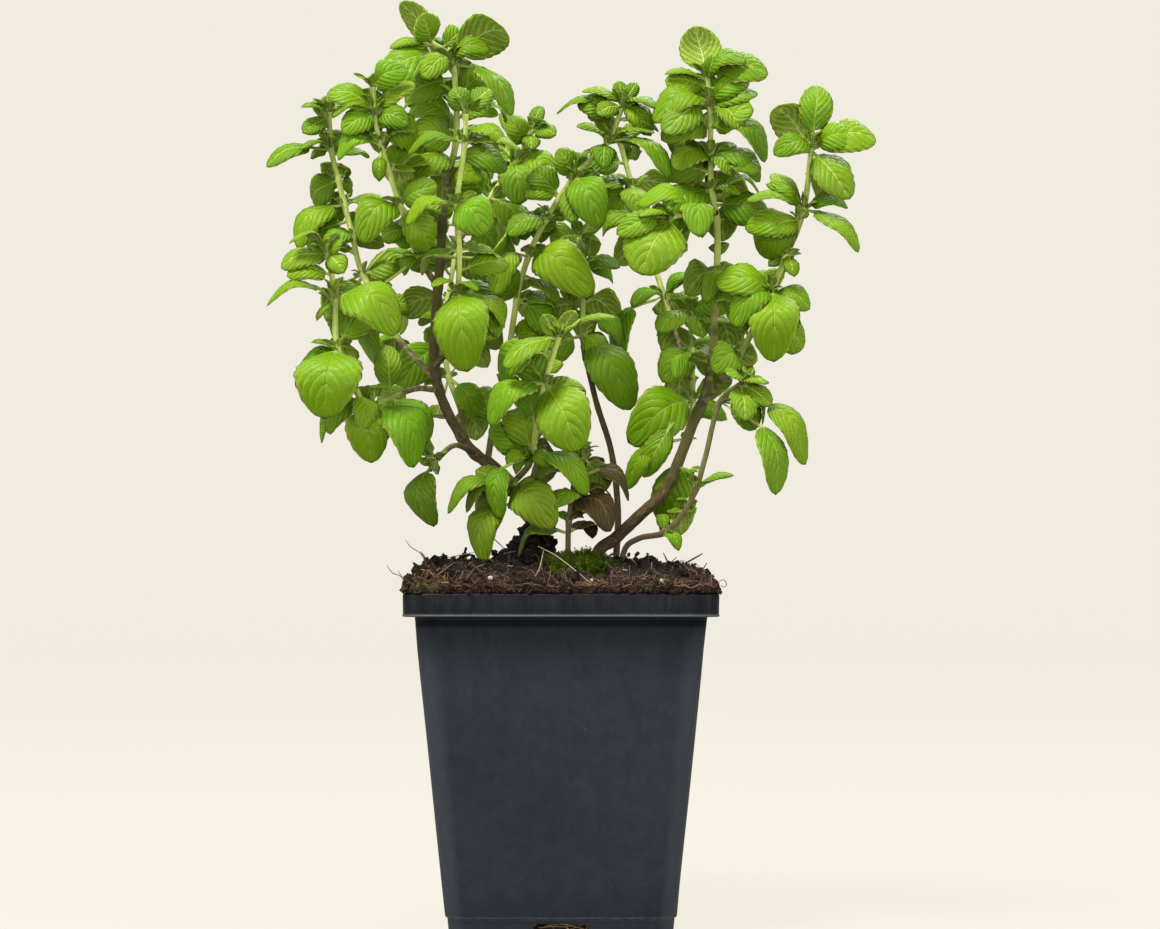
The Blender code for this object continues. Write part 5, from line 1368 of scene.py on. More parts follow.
def under_leaf(name, fresh, dull, worn):
    material, tree, shader = new_finish(name, Specular_IOR_Level=0.15, **GLOW)
    pattern = use(tree, leaf_pattern)
    cloud = use(tree, mottling, Scale=140.0, Seed=5.0)
    age, tone = drawn(tree, "age", "tone")
    fields, net, midrib = pattern["Fields"], pattern["Net"], pattern["Midrib"]
    base = layers(
        tree, fresh,
        (age.ramp(0.1, 0.9), dull),
        (tone * 0.3 + cloud["Fine"] * 0.2, shade(dull, 0.7)),
        (age.ramp(0.5, 0.9) * tone.ramp(0.3, 0.7), worn),
        (fields * 0.45, shade(dull, 0.75)),
        (net * 0.12, (0.50, 0.58, 0.2)),
        (fields.ramp(0.1, 0.8, 0.5, 0.0) * age.ramp(0.2, 0.6, 1.0, 0.5), (0.44, 0.55, 0.11)),
        (pattern["Veins"] * 0.36, (0.56, 0.66, 0.22)),
        (midrib * 0.55, (0.58, 0.67, 0.26)),
        (brown_mask(age, tone), shade(worn, 0.7)),
        (pattern["Stalk"] * 0.8, (0.30, 0.38, 0.09)),
    )
    height = pattern["Veins"] * 0.6 + net * 0.3 + midrib * 0.8 + cloud["Fine"] * 0.2
    paint(tree, shader, base, 0.58 + cloud["Fine"] * 0.15, height, 0.0003)
    return material


young_upper = upper_leaf(
    "young_leaf_upper", young=(0.170, 0.275, 0.004), deep=(0.122, 0.300, 0.001), olive=(0.245, 0.335, 0.002),
    worn=(0.14, 0.18, 0.004), shine=0.36,
)
young_under = under_leaf("young_leaf_under", (0.185, 0.285, 0.014), (0.20, 0.29, 0.016), (0.18, 0.23, 0.025))
old_upper = upper_leaf(
    "old_leaf_upper", young=(0.18, 0.28, 0.006), deep=(0.110, 0.240, 0.002), olive=(0.215, 0.26, 0.004),
    worn=(0.085, 0.034, 0.018), shine=0.40,
)
old_under = under_leaf("old_leaf_under", (0.24, 0.31, 0.07), (0.19, 0.22, 0.06), (0.11, 0.045, 0.03))
print("four leaf finishes")

# %% Green stem and hair finishes
def green_stem(name, foot, middle, top):
    material, tree, shader = new_finish(name, Specular_IOR_Level=0.2)
    up_stem = drawn(tree, "up_stem")
    cloud = use(tree, mottling, Scale=90.0, Seed=8.0)
    grain = use(tree, mottling, Scale=900.0, Stretch=(1.0, 1.0, 0.08), Seed=9.0)
    turn = cloud["Patches"] * 0.2 - 0.1
    base = layers(
        tree, foot,
        ((up_stem + turn).ramp(0.12, 0.42), middle),
        ((up_stem + turn).ramp(0.25, 0.7), top),
        (grain["Patches"] * 0.35, shade(middle, 0.55)),
        (cloud["Fine"].ramp(0.5, 0.8) * 0.4, (middle[0] * 1.1, middle[1] * 0.75, middle[2] * 1.4)),
    )
    relief = grain["Patches"] * 0.7 + grain["Fine"] * 0.3
    paint(tree, shader, base, 0.5 + grain["Fine"] * 0.2, relief, 0.00015)
    return material


stem_green = green_stem("green_stem", (0.055, 0.045, 0.018), (0.34, 0.40, 0.08), (0.50, 0.62, 0.13))
stem_brown = green_stem("brown_green_stem", (0.05, 0.036, 0.018), (0.085, 0.062, 0.028), (0.17, 0.16, 0.05))
stem_hair, tree, shader = new_finish("stem_hair", Roughness=0.6, Sheen_Weight=0.3)
hair_tone = use(tree, mottling, Scale=300.0)
feed(shader.inputs["Base Color"], mix(tree, hair_tone["Patches"], (0.52, 0.55, 0.32), (0.36, 0.42, 0.2)))

# %% [markdown]
# ## Growing the shoots
#
# Each shoot is one mesh of bare points: its stem line, and one loose point for each leaf root that carries
# the leaf's values. Besides the leaves in the table, each node bears tufts of tiny young leaves in the
# armpits of its pair, and each stem ends in a few upright ones, as calamint does. They are drawn with a
# fixed seed.

# %% Shoots
STEM_STEP = 1.4
NODE_SWELL, NODE_REACH = 0.3, 1.3
LARGE_WIDTH, MEDIUM_WIDTH, SMALL_WIDTH = 12.0, 7.5, 4.5
TUFT_LENGTH = (3.0, 6.5)
LOW_LEAVES, PALER_BELOW, BROWN_TONE, PALER = 133.0, 190.0, 0.75, 0.6
BROWN_FROM, MORE_BROWN_FROM = 3.0, -5.0
TOP_LEAVES, GOLDEN_ANGLE = 6, math.radians(137.5)
BROADER, BROADER_LARGE, SLIMMER = 1.08, 0.94, 0.9
LOWEST_OLDER, BETWEEN_OLDER, OLDER = 0.55, 0.5, 0.2
LEAF_NUMBERS = ("width", "is_leaf", "neck", "age", "seed", "tone", "fold", "girth")


def leaf_values(root, tip, face, width, form, age, draw):
    width *= BROADER_LARGE if form == 0 else BROADER
    return dict(
        place=root * MM, root=root * MM, tip=tip * MM, face=Vector(face), width=width * MM, is_leaf=1.0,
        neck=neck_of(root, tip, width), form=form, age=age, seed=draw.random(), tone=draw.random(),
        fold=draw.uniform(-0.05, 0.14), girth=0.0,
    )


def tuft(root, stem, out, count, size, draw):
    """Tiny young leaves between the stem and a main leaf."""
    leaves = []
    side = stem.cross(out).normalized()
    for k in range(count):
        length = draw.uniform(*TUFT_LENGTH) * size
        hand = (k - (count - 1) / 2) * 0.8 + draw.uniform(-0.35, 0.35)
        lean = draw.uniform(0.35, 1.1)
        reach = (stem + out * lean + side * hand).normalized()
        face = (stem * 0.4 - out * 0.9 - side * hand * 0.3).normalized()
        start = root + (out * 0.4 + side * hand * 0.3)
        leaves.append((start, start + reach * length, face, length * draw.uniform(0.42, 0.6)))
    return leaves


def brown_or_paint_paler(leaf, tip, old, brown_from):
    """Turns low leaves of old shoots brown on the right; others in the lower tiers get painted light, a paler
    tone.
    """
    if old and tip.z < LOW_LEAVES and tip.x > brown_from:
        leaf["tone"] = BROWN_TONE
    elif tip.z < PALER_BELOW:
        # Painted light: a paler tone stands in for the light on the lower tiers.
        leaf["tone"] *= PALER


def years(old, tip, lowest):
    """What an old shoot's leaf is older by."""
    return 0.0 if not old else lowest if tip.z < LOW_LEAVES else OLDER


def form_for(width):
    return 0 if width >= LARGE_WIDTH else 1 if width >= MEDIUM_WIDTH else 2 if width >= SMALL_WIDTH else 3


def shoot_points(name):
    """Every point of a shoot: its stem line and its leaf roots."""
    spec = SHOOTS[name]
    draw = random.Random(name)
    nodes, foot = spec["nodes"], spec.get("foot", FOOT_GIRTH)
    places = [seen(*node[:3]) for node in nodes]
    route = smooth_route(places, STEM_STEP)
    old = "leaf" in spec
    points = []
    for k, place in enumerate(route):
        share = k / (len(route) - 1)
        radius = foot + (TOP_GIRTH - foot) * share
        bearing = [p for p, node in zip(places, nodes) if node[3:]]
        away = min(((place - p).length for p in bearing), default=99.0)
        radius *= 1 + NODE_SWELL * math.exp(-(away / NODE_REACH) ** 2)
        bare = dict.fromkeys(LEAF_NUMBERS, 0.0) | dict(form=0, girth=radius * SLIMMER * MM)
        points.append(dict(bare, place=place * MM, root=place * MM, tip=place * MM, face=Vector((0, 0, 1))))
    edges = [(k, k + 1) for k in range(len(points) - 1)]
    for leaf in main_leaves[name]:
        root, tip, face, width = leaf["root"], leaf["tip"], leaf["face"], leaf["width"]
        share = leaf["node"] / (len(nodes) - 1)
        size = min(width / 16.0, 1.0)
        age = 0.05 + 0.28 * size + 0.5 * (1 - share) + draw.uniform(-0.12, 0.12)
        age += years(old, tip, LOWEST_OLDER)
        points.append(leaf_values(root, tip, face, width, form_for(width), min(max(age, 0.0), 1.0), draw))
        brown_or_paint_paler(points[-1], tip, old, BROWN_FROM)
        stem = (places[min(leaf["node"] + 1, len(nodes) - 1)] - places[max(leaf["node"] - 1, 0)]).normalized()
        out = tip - root
        out = (out - stem * out.dot(stem)).normalized()
        count = draw.choice((2, 3, 3)) if share < 0.95 else draw.choice((1, 2))
        for small in tuft(root, stem, out, count, 0.75 + 0.35 * share, draw):
            points.append(leaf_values(*small, 3, draw.uniform(0.0, 0.3), draw))
    for node, across, up, depth, width, face in MORE_LEAVES.get(name, ()):
        below = int(node)
        root = places[below].lerp(places[min(below + 1, len(places) - 1)], node - below)
        tip = seen(across, up, depth)
        root = root + (tip - root).normalized() * ROOT_SINK
        age = draw.uniform(0.25, 0.65) + years(old, tip, BETWEEN_OLDER)
        points.append(leaf_values(root, tip, face, width, form_for(width), min(age, 1.0), draw))
        brown_or_paint_paler(points[-1], tip, old, MORE_BROWN_FROM)
    top = (places[-1] - places[-2]).normalized()
    spin = draw.uniform(0, math.tau)
    for k in range(TOP_LEAVES):
        turn = Matrix.Rotation(spin + k * GOLDEN_ANGLE, 3, top)
        out = turn @ top.orthogonal().normalized()
        length = 3.0 + k * 0.55
        tip = places[-1] + (top + out * (0.25 + 0.12 * k)).normalized() * length
        points.append(leaf_values(places[-1], tip, top * 0.5 - out, length * 0.5, 3, 0.05, draw))
    return points, edges


def grow_shoot(name):
    points, edges = shoot_points(name)
    seed_mesh = plain_mesh(name, [p["place"] for p in points], edges=edges)
    for label in ("root", "tip", "face"):
        set_values(seed_mesh, label, "FLOAT_VECTOR", [p[label] for p in points])
    for label in LEAF_NUMBERS:
        set_values(seed_mesh, label, "FLOAT", [p[label] for p in points])
    set_values(seed_mesh, "form", "INT", [p["form"] for p in points])
    old = "leaf" in SHOOTS[name]
    values = {
        "Stem": stem_brown if old or "in_soil" in SHOOTS[name] else stem_green, "Hair": stem_hair,
        "Upper side": old_upper if old else young_upper, "Underside": old_under if old else young_under,
    }
    kept = ("across", "blade", "half_mm", "age", "tone", "up_stem")
    return grow(leafy_shoot, seed_mesh, values, kept)


for shoot_name, shoot in SHOOTS.items():
    piece(shoot_name + "_fine", grow_shoot(shoot_name), shoot.get("leaf", "leaf_young"), shoot_name)

# %% [markdown]
# ## The brown stems
#
# The old stems at the foot have turned woody. Their bark is dark brown, ridged lengthwise, with the four
# corners of the square still felt and a thickened ring wherever a branch leaves. The tree sweeps a circle
# along each route and pushes its points in and out by how far up and round the stem they are, so the ridges
# follow every bend. The bark's finish reads the same values.

# %% Woody stem tree
def woody_tree():
    tree, given, end = geometry_tree(
        "woody_stem", ("Sides", "Int", 28), ("Ridge depth", "Float", 0.11), ("Square", "Float", 0.05),
        ("Bark", "Material"),
    )
    curve = through(tree, "MeshToCurve", given["Geometry"])
    spline = add(tree, "GeometryNodeSplineParameter")
    curve = store(tree, curve, "up_stem", Field(spline.outputs["Factor"]))
    curve = store(tree, curve, "up_mm", Field(spline.outputs["Length"]) * 1000.0)
    circle = add(tree, "GeometryNodeCurvePrimitiveCircle", {"Resolution": given["Sides"], "Radius": 1.0})
    ring = Field(add(tree, "GeometryNodeSplineParameter").outputs["Factor"])
    profile = store(tree, circle.outputs["Curve"], "turn", ring * math.tau)
    turn, up, girth, girth_mm = named(tree, "turn", "up_mm", "girth", "girth_mm")
    tube = through(tree, "CurveToMesh", curve, Profile_Curve=profile, Scale=girth, Fill_Caps=True)
    feeds = {"X": turn.sin(), "Y": (turn + math.pi / 2).sin(), "Z": up * 0.09}
    bark = add(tree, "ShaderNodeCombineXYZ", feeds)
    tube = store(tree, tube, "bark", Field(bark.outputs["Vector"]), "FLOAT_VECTOR")
    feeds = {"Vector": named(tree, "bark", kind="FLOAT_VECTOR"), "Scale": 3.4, "Detail": 3.0}
    grooves = add(tree, "ShaderNodeTexNoise", feeds)
    ridge = abs(Field(grooves.outputs["Fac"]) - 0.5) * 4.0 - 0.5
    square = (turn * 4.0).sin() * given["Square"]
    normal = Field(add(tree, "GeometryNodeInputNormal").outputs["Normal"])
    push = (ridge * given["Ridge depth"] * -1.0 + square) * girth_mm * MM
    moved = through(tree, "SetPosition", tube, Offset=normal * push)
    dress(tree, end, through(tree, "SetShadeSmooth", moved), given["Bark"])
    return tree


woody_stem = woody_tree()

# %% Bark finish
bark_finish, tree, shader = new_finish("bark", Specular_IOR_Level=0.08)
bark_place = Field(add(tree, "ShaderNodeAttribute", attribute_name="bark").outputs["Vector"])
up_stem = drawn(tree, "up_stem")
cloud = use(tree, mottling, Scale=130.0, Seed=4.0)
feeds = {"Vector": bark_place, "Scale": 6.0, "Detail": 5.0, "Roughness": 0.65}
long_grain = add(tree, "ShaderNodeTexNoise", feeds)
ridges = Field(long_grain.outputs["Fac"])
warts = use(tree, grit, Scale=1100.0, Amount=0.12, Size=0.3)
base = layers(
    tree, (0.022, 0.014, 0.006),
    (ridges.ramp(0.36, 0.66), (0.135, 0.094, 0.040)),
    (cloud["Patches"] * 0.5, (0.060, 0.042, 0.021)),
    (up_stem.ramp(0.45, 1.0) * 0.75, (0.105, 0.105, 0.03)),
    (warts["Specks"] * 0.5, (0.20, 0.16, 0.10)),
)
relief = ridges * 0.9 + cloud["Fine"] * 0.2 + warts["Specks"] * 0.3
paint(tree, shader, base, 0.55 + cloud["Fine"] * 0.25, relief, 0.0005)

# %% Brown stems
WOODY_STEP = 0.8
RING_SWELL, RING_REACH = 0.22, 1.6


def grow_woody(name):
    spec = WOODY[name]
    route = smooth_route([seen(*node) for node in spec["route"]], WOODY_STEP)
    joints = [seen(*shoot["nodes"][0][:3]) for shoot in SHOOTS.values()]
    joints = [joint for joint in joints if min((joint - place).length for place in route) < 4.0]
    girths = []
    for k, place in enumerate(route):
        share = k / (len(route) - 1)
        radius = spec["girth"][0] + (spec["girth"][1] - spec["girth"][0]) * share
        away = min((joint - place).length for joint in joints)
        lump = noise.noise(place * 0.35) * 0.06
        girths.append(radius * (1 + RING_SWELL * math.exp(-(away / RING_REACH) ** 2) + lump))
    edges = [(k, k + 1) for k in range(len(route) - 1)]
    line = plain_mesh(name, [place * MM for place in route], edges=edges)
    set_values(line, "girth", "FLOAT", [radius * MM for radius in girths])
    set_values(line, "girth_mm", "FLOAT", girths)
    return grow(woody_stem, line, {"Bark": bark_finish}, ("up_stem", "bark"))


for stem_name in WOODY:
    piece(stem_name + "_bark", grow_woody(stem_name), "woody_stem", stem_name)

# %% [markdown]
# ## The root ball
#
# The soil is a crumbly peat mix that stands above the rim and reaches out over it. One height formula gives
# its mound, its clump round the left stem and its rubble; the lid's points, the crumbs and the fibres all
# stand on it, so nothing floats. The lid is a close net of rings, and under it the root ball fills the pot.

# %% Root ball
SOIL_HALF, SOIL_EDGE, SOIL_CROWN, SOIL_CORNER = 44.4, 99.9, 106.4, 7.5
CLUMP_CENTRE, CLUMP_HEIGHT, CLUMP_RADIUS = (-9.0, 5.0), 10.5, 7.0
LID_RINGS, LID_SIDE = 48, 70


def ground(x, y):
    """The height of the soil in millimetres."""
    swell = max((1 - min(abs(x / SOIL_HALF), 1) ** 15) * (1 - min(abs(y / SOIL_HALF), 1) ** 2.4), 0.0)
    mound = SOIL_EDGE + (SOIL_CROWN - SOIL_EDGE) * swell
    away = math.dist((x, y), CLUMP_CENTRE) / CLUMP_RADIUS
    clump = CLUMP_HEIGHT * math.exp(-away ** 2)
    rough = noise.noise(Vector((x * 0.24, y * 0.24, 1.7))) * 2.4
    fine = noise.noise(Vector((x * 0.9, y * 0.9, 5.1))) * 1.6
    edge = max(abs(x), abs(y)) / SOIL_HALF
    calm = 1.0 - 0.6 * max(min((edge - 0.9) / 0.1, 1.0), 0.0)
    rubble = 0.8 * abs(noise.noise(Vector((x * 0.5, y * 0.5, 9.3)))) - 0.2
    crumbs = 0.55 * noise.noise(Vector((x * 1.7, y * 1.7, 3.3)))
    sag = 1.6 * max(min((x - 22.0) / 10.0, 1.0), 0.0)
    return mound + clump + (rough + fine) * calm + rubble + crumbs - sag * swell


def square_ring(half, corner, count):
    """Points round a square with round corners, counter-clockwise, evenly along each side."""
    points = []
    for quarter in range(4):
        turn = Matrix.Rotation(math.radians(90) * quarter, 3, "Z")
        for k in range(count):
            point = Vector((half, half * (2 * k / count - 1), 0.0))
            over = abs(point.y) - (half - corner)
            if over > 0:
                point.x -= corner - math.sqrt(max(corner ** 2 - over ** 2, 0.0))
            points.append(turn @ point)
    return points


soil_rings = []
inner_top = body_half(RIM_TOP) - WALL - 0.15
inner_low = body_half(FOOT_HEIGHT) - FOOT_INSET - WALL - 0.15
inner_base = body_half(0) - FOOT_INSET - WALL - 0.15
in_the_pot = [
    (inner_base, WALL + 0.15), (inner_base + 0.1, 2.4), (inner_base + 0.15, 3.6), (inner_low, 5.4),
    (inner_low + 0.5, 8.0), (inner_top, RIM_TOP + 0.1), (SOIL_HALF - 0.4, RIM_TOP + 0.1),
]
for half, z in in_the_pot:
    ring = square_ring(half, BODY_CORNER - WALL, LID_SIDE)
    for point in ring:
        point.z = z
        if z < 5:
            point -= point.normalized() * (0.5 + 0.5 * noise.noise(point * 0.9))
    soil_rings.append(ring)
for k in range(LID_RINGS):
    share = 1.0 - k / LID_RINGS
    ring = square_ring(SOIL_HALF * share, SOIL_CORNER * share, LID_SIDE)
    for point in ring:
        point.z = ground(point.x, point.y)
        if k < 3:
            ragged = noise.noise(Vector((point.x * 0.8, point.y * 0.8, 2.0 + k)))
            point.x += 0.45 * ragged * point.x / SOIL_HALF
            point.y += 0.45 * ragged * point.y / SOIL_HALF
    soil_rings.append(ring)
soil_points = [point * MM for ring in soil_rings for point in ring]
around = 4 * LID_SIDE
soil_faces = [tuple(range(around))[::-1]]
for low in range(len(soil_rings) - 1):
    for k in range(around):
        n = (k + 1) % around
        a, b = low * around, (low + 1) * around
        soil_faces.append((a + k, a + n, b + n, b + k))
centre = len(soil_points)
soil_points.append(Vector((0, 0, ground(0, 0))) * MM)
last = (len(soil_rings) - 1) * around
soil_faces += [(last + k, last + (k + 1) % around, centre) for k in range(around)]
soil_mesh = plain_mesh("root_ball", soil_points, soil_faces)
soil_mesh.shade_smooth()
print("root ball:", len(soil_faces), "faces")

# %% Peat finish
def peat_finish(name, dark, brown, red, wet):
    material, tree, shader = new_finish(name, Specular_IOR_Level=0.2)
    lumps = use(tree, mottling, Scale=330.0, Seed=1.0)
    fine = use(tree, mottling, Scale=1500.0, Seed=6.0)
    flecks = use(tree, grit, Scale=1300.0, Amount=0.16, Size=0.42)
    algae = use(tree, mottling, Scale=75.0, Seed=21.0)
    x, y, z = axes(tree, object_place(tree))
    reach = abs(x).most(abs(y))
    rim = reach.ramp(0.026, 0.043) * z.ramp(0.108, 0.101)
    base = layers(
        tree, dark,
        (lumps["Patches"] * 0.7 + fine["Patches"] * 0.3, brown),
        (rim * lumps["Fine"].ramp(0.35, 0.7), red),
        (algae["Patches"].ramp(0.6, 1.0) * reach.ramp(0.030, 0.042) * 0.6, (0.085, 0.068, 0.018)),
        (flecks["Specks"] * flecks["Shade"], (0.16, 0.085, 0.04)),
    )
    paint(tree, shader, base, wet + fine["Fine"] * 0.15, lumps["Fine"] * 0.5 + fine["Fine"] * 0.5, 0.0006)
    return material


peat = peat_finish("peat", (0.004, 0.0026, 0.0018), (0.025, 0.0135, 0.008), (0.072, 0.034, 0.016), 0.75)
soil_mesh.materials.append(peat)

# %% [markdown]
# ### Crumbs
#
# Thousands of crumbs could be sculpted into the lid, but loose ones with shadows under them are what makes
# peat look like peat. The tree puts a small lump on every point, turns and squashes each one its own way,
# and pushes all their corners about with one noise, so that no two are alike. Small ones have only 20
# faces.

# %% Crumb tree
def crumb_tree():
    tree, given, end = geometry_tree(
        "crumbs", ("Fineness", "Int", 1), ("Roughness", "Float", 0.55), ("Seed", "Int", 1),
        ("Finish", "Material"),
    )
    points = through(tree, "MeshToPoints", given["Geometry"])
    lump = add(tree, "GeometryNodeMeshIcoSphere", {"Radius": 0.5, "Subdivisions": given["Fineness"]})
    turn = random_value(tree, given["Seed"], (0.0, 0.0, 0.0), (6.28, 6.28, 6.28))
    squash = random_value(tree, given["Seed"] + 1.0, (0.7, 0.55, 0.45), (1.5, 1.1, 0.9))
    size = named(tree, "size")
    feeds = dict(Instance=lump.outputs["Mesh"], Rotation=turn, Scale=squash * size)
    whole = through(tree, "RealizeInstances", through(tree, "InstanceOnPoints", points, **feeds))
    place = Field(add(tree, "GeometryNodeInputPosition").outputs["Position"])
    rough = add(tree, "ShaderNodeTexNoise", {"Vector": place, "Scale": 900.0, "Detail": 2.0})
    push = (Field(rough.outputs["Color"]) - (0.5, 0.5, 0.5)) * size * given["Roughness"] * 2.0
    moved = through(tree, "SetPosition", whole, Offset=push)
    feed(end.inputs["Geometry"], through(tree, "SetMaterial", moved, Material=given["Finish"]))
    return tree


crumb_lumps = crumb_tree()


# %% Crumbs
EDGE_BAND, CRUMB_HALF, STRAW_HALF, FIBRE_HALF = 40, 44.6, 44.8, 44.9
SMALL_CRUMBS, EDGE_CRUMBS, LARGE_CRUMBS, HEAPS, CLUMP_CRUMBS = 2350, 980, 330, 34, 260
FIBRES, EDGE_FIBRES, STRAWS, TWIGS, SLOT_ROOTS = 380, 290, 26, 46, 9


def inside_lid(x, y, half):
    """True where a point lies inside the round-cornered square of the lid."""
    over_x, over_y = abs(x) - (half - SOIL_CORNER), abs(y) - (half - SOIL_CORNER)
    if max(abs(x), abs(y)) > half:
        return False
    return not (over_x > 0 and over_y > 0 and math.hypot(over_x, over_y) > SOIL_CORNER)


def scatter(draw, count, size, edge_share, lift):
    """Crumb places and sizes; a share of them lies in a band along the edge."""
    found = []
    while len(found) < count:
        x, y = draw.uniform(-RIM_HALF, RIM_HALF), draw.uniform(-RIM_HALF, RIM_HALF)
        at_edge = max(abs(x), abs(y)) > EDGE_BAND
        if not inside_lid(x, y, CRUMB_HALF) or (not at_edge and draw.random() < edge_share):
            continue
        wide = size[0] + (size[1] - size[0]) * draw.random() ** 2
        z = ground(x, y) + wide * draw.uniform(-0.1, lift)
        found.append((Vector((x, y, z)), wide))
    return found


def crumb_mesh(found, fineness, finish, seed, roughness=0.55):
    mesh = plain_mesh("crumbs", [place * MM for place, _ in found])
    set_values(mesh, "size", "FLOAT", [size * MM for _, size in found])
    values = {"Fineness": fineness, "Finish": finish, "Seed": seed, "Roughness": roughness}
    grown = grow(crumb_lumps, mesh, values)
    if fineness > 1:
        grown.shade_smooth()
    return grown


draw = random.Random(41)
small_crumbs = scatter(draw, SMALL_CRUMBS, (0.5, 1.5), 0.25, 0.5)
for k in range(EDGE_CRUMBS):
    side, along = draw.randrange(4), draw.uniform(-42, 42)
    turn = Matrix.Rotation(math.radians(90) * side, 3, "Z")
    place = turn @ Vector((44.75 - draw.random() * 0.7, along, 0.0))
    place.z = draw.uniform(RIM_TOP + 0.2, ground(place.x, place.y) + 0.3)
    small_crumbs.append((place, draw.uniform(0.8, 1.9)))
large_crumbs = scatter(draw, LARGE_CRUMBS, (1.5, 3.4), 0.35, 0.4)
for k in range(HEAPS):
    x, y, lift = draw.uniform(-41, 41), draw.uniform(-38, 36), 0.0
    for step in range(draw.randint(2, 5)):
        wide = draw.uniform(1.0, 2.0) * (1 - step * 0.1)
        large_crumbs.append((Vector((x, y, ground(x, y) + lift + wide * 0.3)), wide))
        x, y, lift = x + draw.uniform(-0.8, 0.8), y + draw.uniform(-0.8, 0.8), lift + wide * 0.6
for k in range(CLUMP_CRUMBS):
    turn, away = draw.uniform(0, math.tau), CLUMP_RADIUS * draw.random() ** 0.8
    x, y = CLUMP_CENTRE[0] + away * math.cos(turn), CLUMP_CENTRE[1] + away * math.sin(turn)
    wide = draw.uniform(0.9, 2.6)
    large_crumbs.append((Vector((x, y, ground(x, y) + draw.uniform(-0.5, 1.6))), wide))
dark_peat = peat_finish("dark_peat", (0.006, 0.0045, 0.0035), (0.022, 0.013, 0.009), (0.06, 0.03, 0.016), 0.7)
crumbs_small = crumb_mesh(small_crumbs, 1, peat, 5)
crumbs_large = crumb_mesh(large_crumbs, 2, dark_peat, 9)
white_places = [(8.7, -41.5), (28.5, -38.5), (-31.0, 20.0), (17.0, 33.0), (-20.0, -39.0), (36.0, 8.0)]
perlite_lumps = [(Vector((x, y, ground(x, y) + 0.5)), draw.uniform(1.1, 2.2)) for x, y in white_places]
perlite, tree, shader = new_finish("perlite")
chalk = use(tree, mottling, Scale=500.0, Seed=12.0)
chalky = mix(tree, chalk["Patches"] * 0.6 + chalk["Fine"] * 0.4, (0.62, 0.55, 0.46), (0.36, 0.27, 0.19))
paint(tree, shader, chalky, 0.8, chalk["Fine"], 0.0003)
crumbs_white = crumb_mesh(perlite_lumps, 2, perlite, 3, 0.3)

# %% [markdown]
# ### Fibres, straws and roots
#
# Pale root fibres and bits of straw lie all over the peat, thickest along its edge, and brown roots show in
# the drain slots. Each is a wandering line that keeps to the ground formula and lifts off it here and
# there. One small tree sweeps a profile with four or five sides along every line.

# %% Strand tree
def strand_tree():
    tree, given, end = geometry_tree("strands", ("Sides", "Int", 5), ("Finish", "Material"))
    curve = through(tree, "MeshToCurve", given["Geometry"])
    circle = add(tree, "GeometryNodeCurvePrimitiveCircle", {"Resolution": given["Sides"], "Radius": 1.0})
    feeds = dict(Profile_Curve=circle.outputs["Curve"], Scale=named(tree, "girth"), Fill_Caps=True)
    tube = through(tree, "CurveToMesh", curve, **feeds)
    dress(tree, end, through(tree, "SetShadeSmooth", tube), given["Finish"])
    return tree


strands = strand_tree()


def strand_mesh(lines, finish, sides=5):
    """One mesh for many strands; a line is its points and its radius, and it thins towards its ends."""
    points, edges, girths, tones = [], [], [], []
    for k, (line, radius) in enumerate(lines):
        start = len(points)
        points += [point * MM for point in line]
        edges += [(start + i, start + i + 1) for i in range(len(line) - 1)]
        for i in range(len(line)):
            t = i / (len(line) - 1)
            girths.append(radius * (0.45 + 0.55 * math.sin(math.pi * min(max(t, 0.02), 0.98)) ** 0.5) * MM)
            tones.append(k * 0.618 % 1.0)
    mesh = plain_mesh("strands", points, edges=edges)
    set_values(mesh, "girth", "FLOAT", girths)
    set_values(mesh, "tone", "FLOAT", tones)
    return grow(strands, mesh, {"Sides": sides, "Finish": finish}, ("tone",))


# %% Fibre finishes
def strand_finish(name, first, second, dark):
    material, tree, shader = new_finish(name, Roughness=0.65)
    grain = use(tree, mottling, Scale=700.0, Seed=15.0)
    base = mix(tree, drawn(tree, "tone"), first, second)
    feed(shader.inputs["Base Color"], mix(tree, grain["Patches"] * 0.5, base, dark))
    return material


fibre = strand_finish("root_fibre", (0.30, 0.165, 0.065), (0.075, 0.034, 0.015), (0.05, 0.024, 0.012))
straw = strand_finish("straw", (0.40, 0.33, 0.19), (0.27, 0.19, 0.10), (0.15, 0.10, 0.05))
twig = strand_finish("twig", (0.10, 0.06, 0.035), (0.05, 0.03, 0.018), (0.025, 0.016, 0.01))


# %% Fibres on the soil
def wander(draw, x, y, length, step, curl, lift):
    """A line that wanders over the ground and lifts off it in gentle arches."""
    heading = draw.uniform(0, math.tau)
    bend = draw.uniform(-curl, curl)
    line, gone, phase = [], 0.0, draw.uniform(0, math.tau)
    while gone < length:
        bend += draw.uniform(-curl, curl) * 0.5
        heading += bend * step
        x += math.cos(heading) * step
        y += math.sin(heading) * step
        x, y = (min(max(part, -FIBRE_HALF), FIBRE_HALF) for part in (x, y))
        z = ground(x, y) + 0.25 + lift * max(math.sin(gone * 0.7 + phase), 0.0)
        line.append(Vector((x, y, z)))
        gone += step
    return line


draw = random.Random(77)
fibre_lines = []
for k in range(FIBRES):
    if k < EDGE_FIBRES:
        side = draw.choice((0, 0, 1, 2, 3))
        along, inward = draw.uniform(-43, 43), 44 - abs(draw.gauss(0, 5.0))
        x, y = ((along, -inward), (inward, along), (along, inward), (-inward, along))[side]
    else:
        x, y = draw.uniform(-42, 42), draw.uniform(-42, 42)
    line = wander(draw, x, y, draw.uniform(4, 15), 0.8, 0.16, draw.uniform(0.1, 1.1))
    fibre_lines.append((line, draw.uniform(0.04, 0.12)))


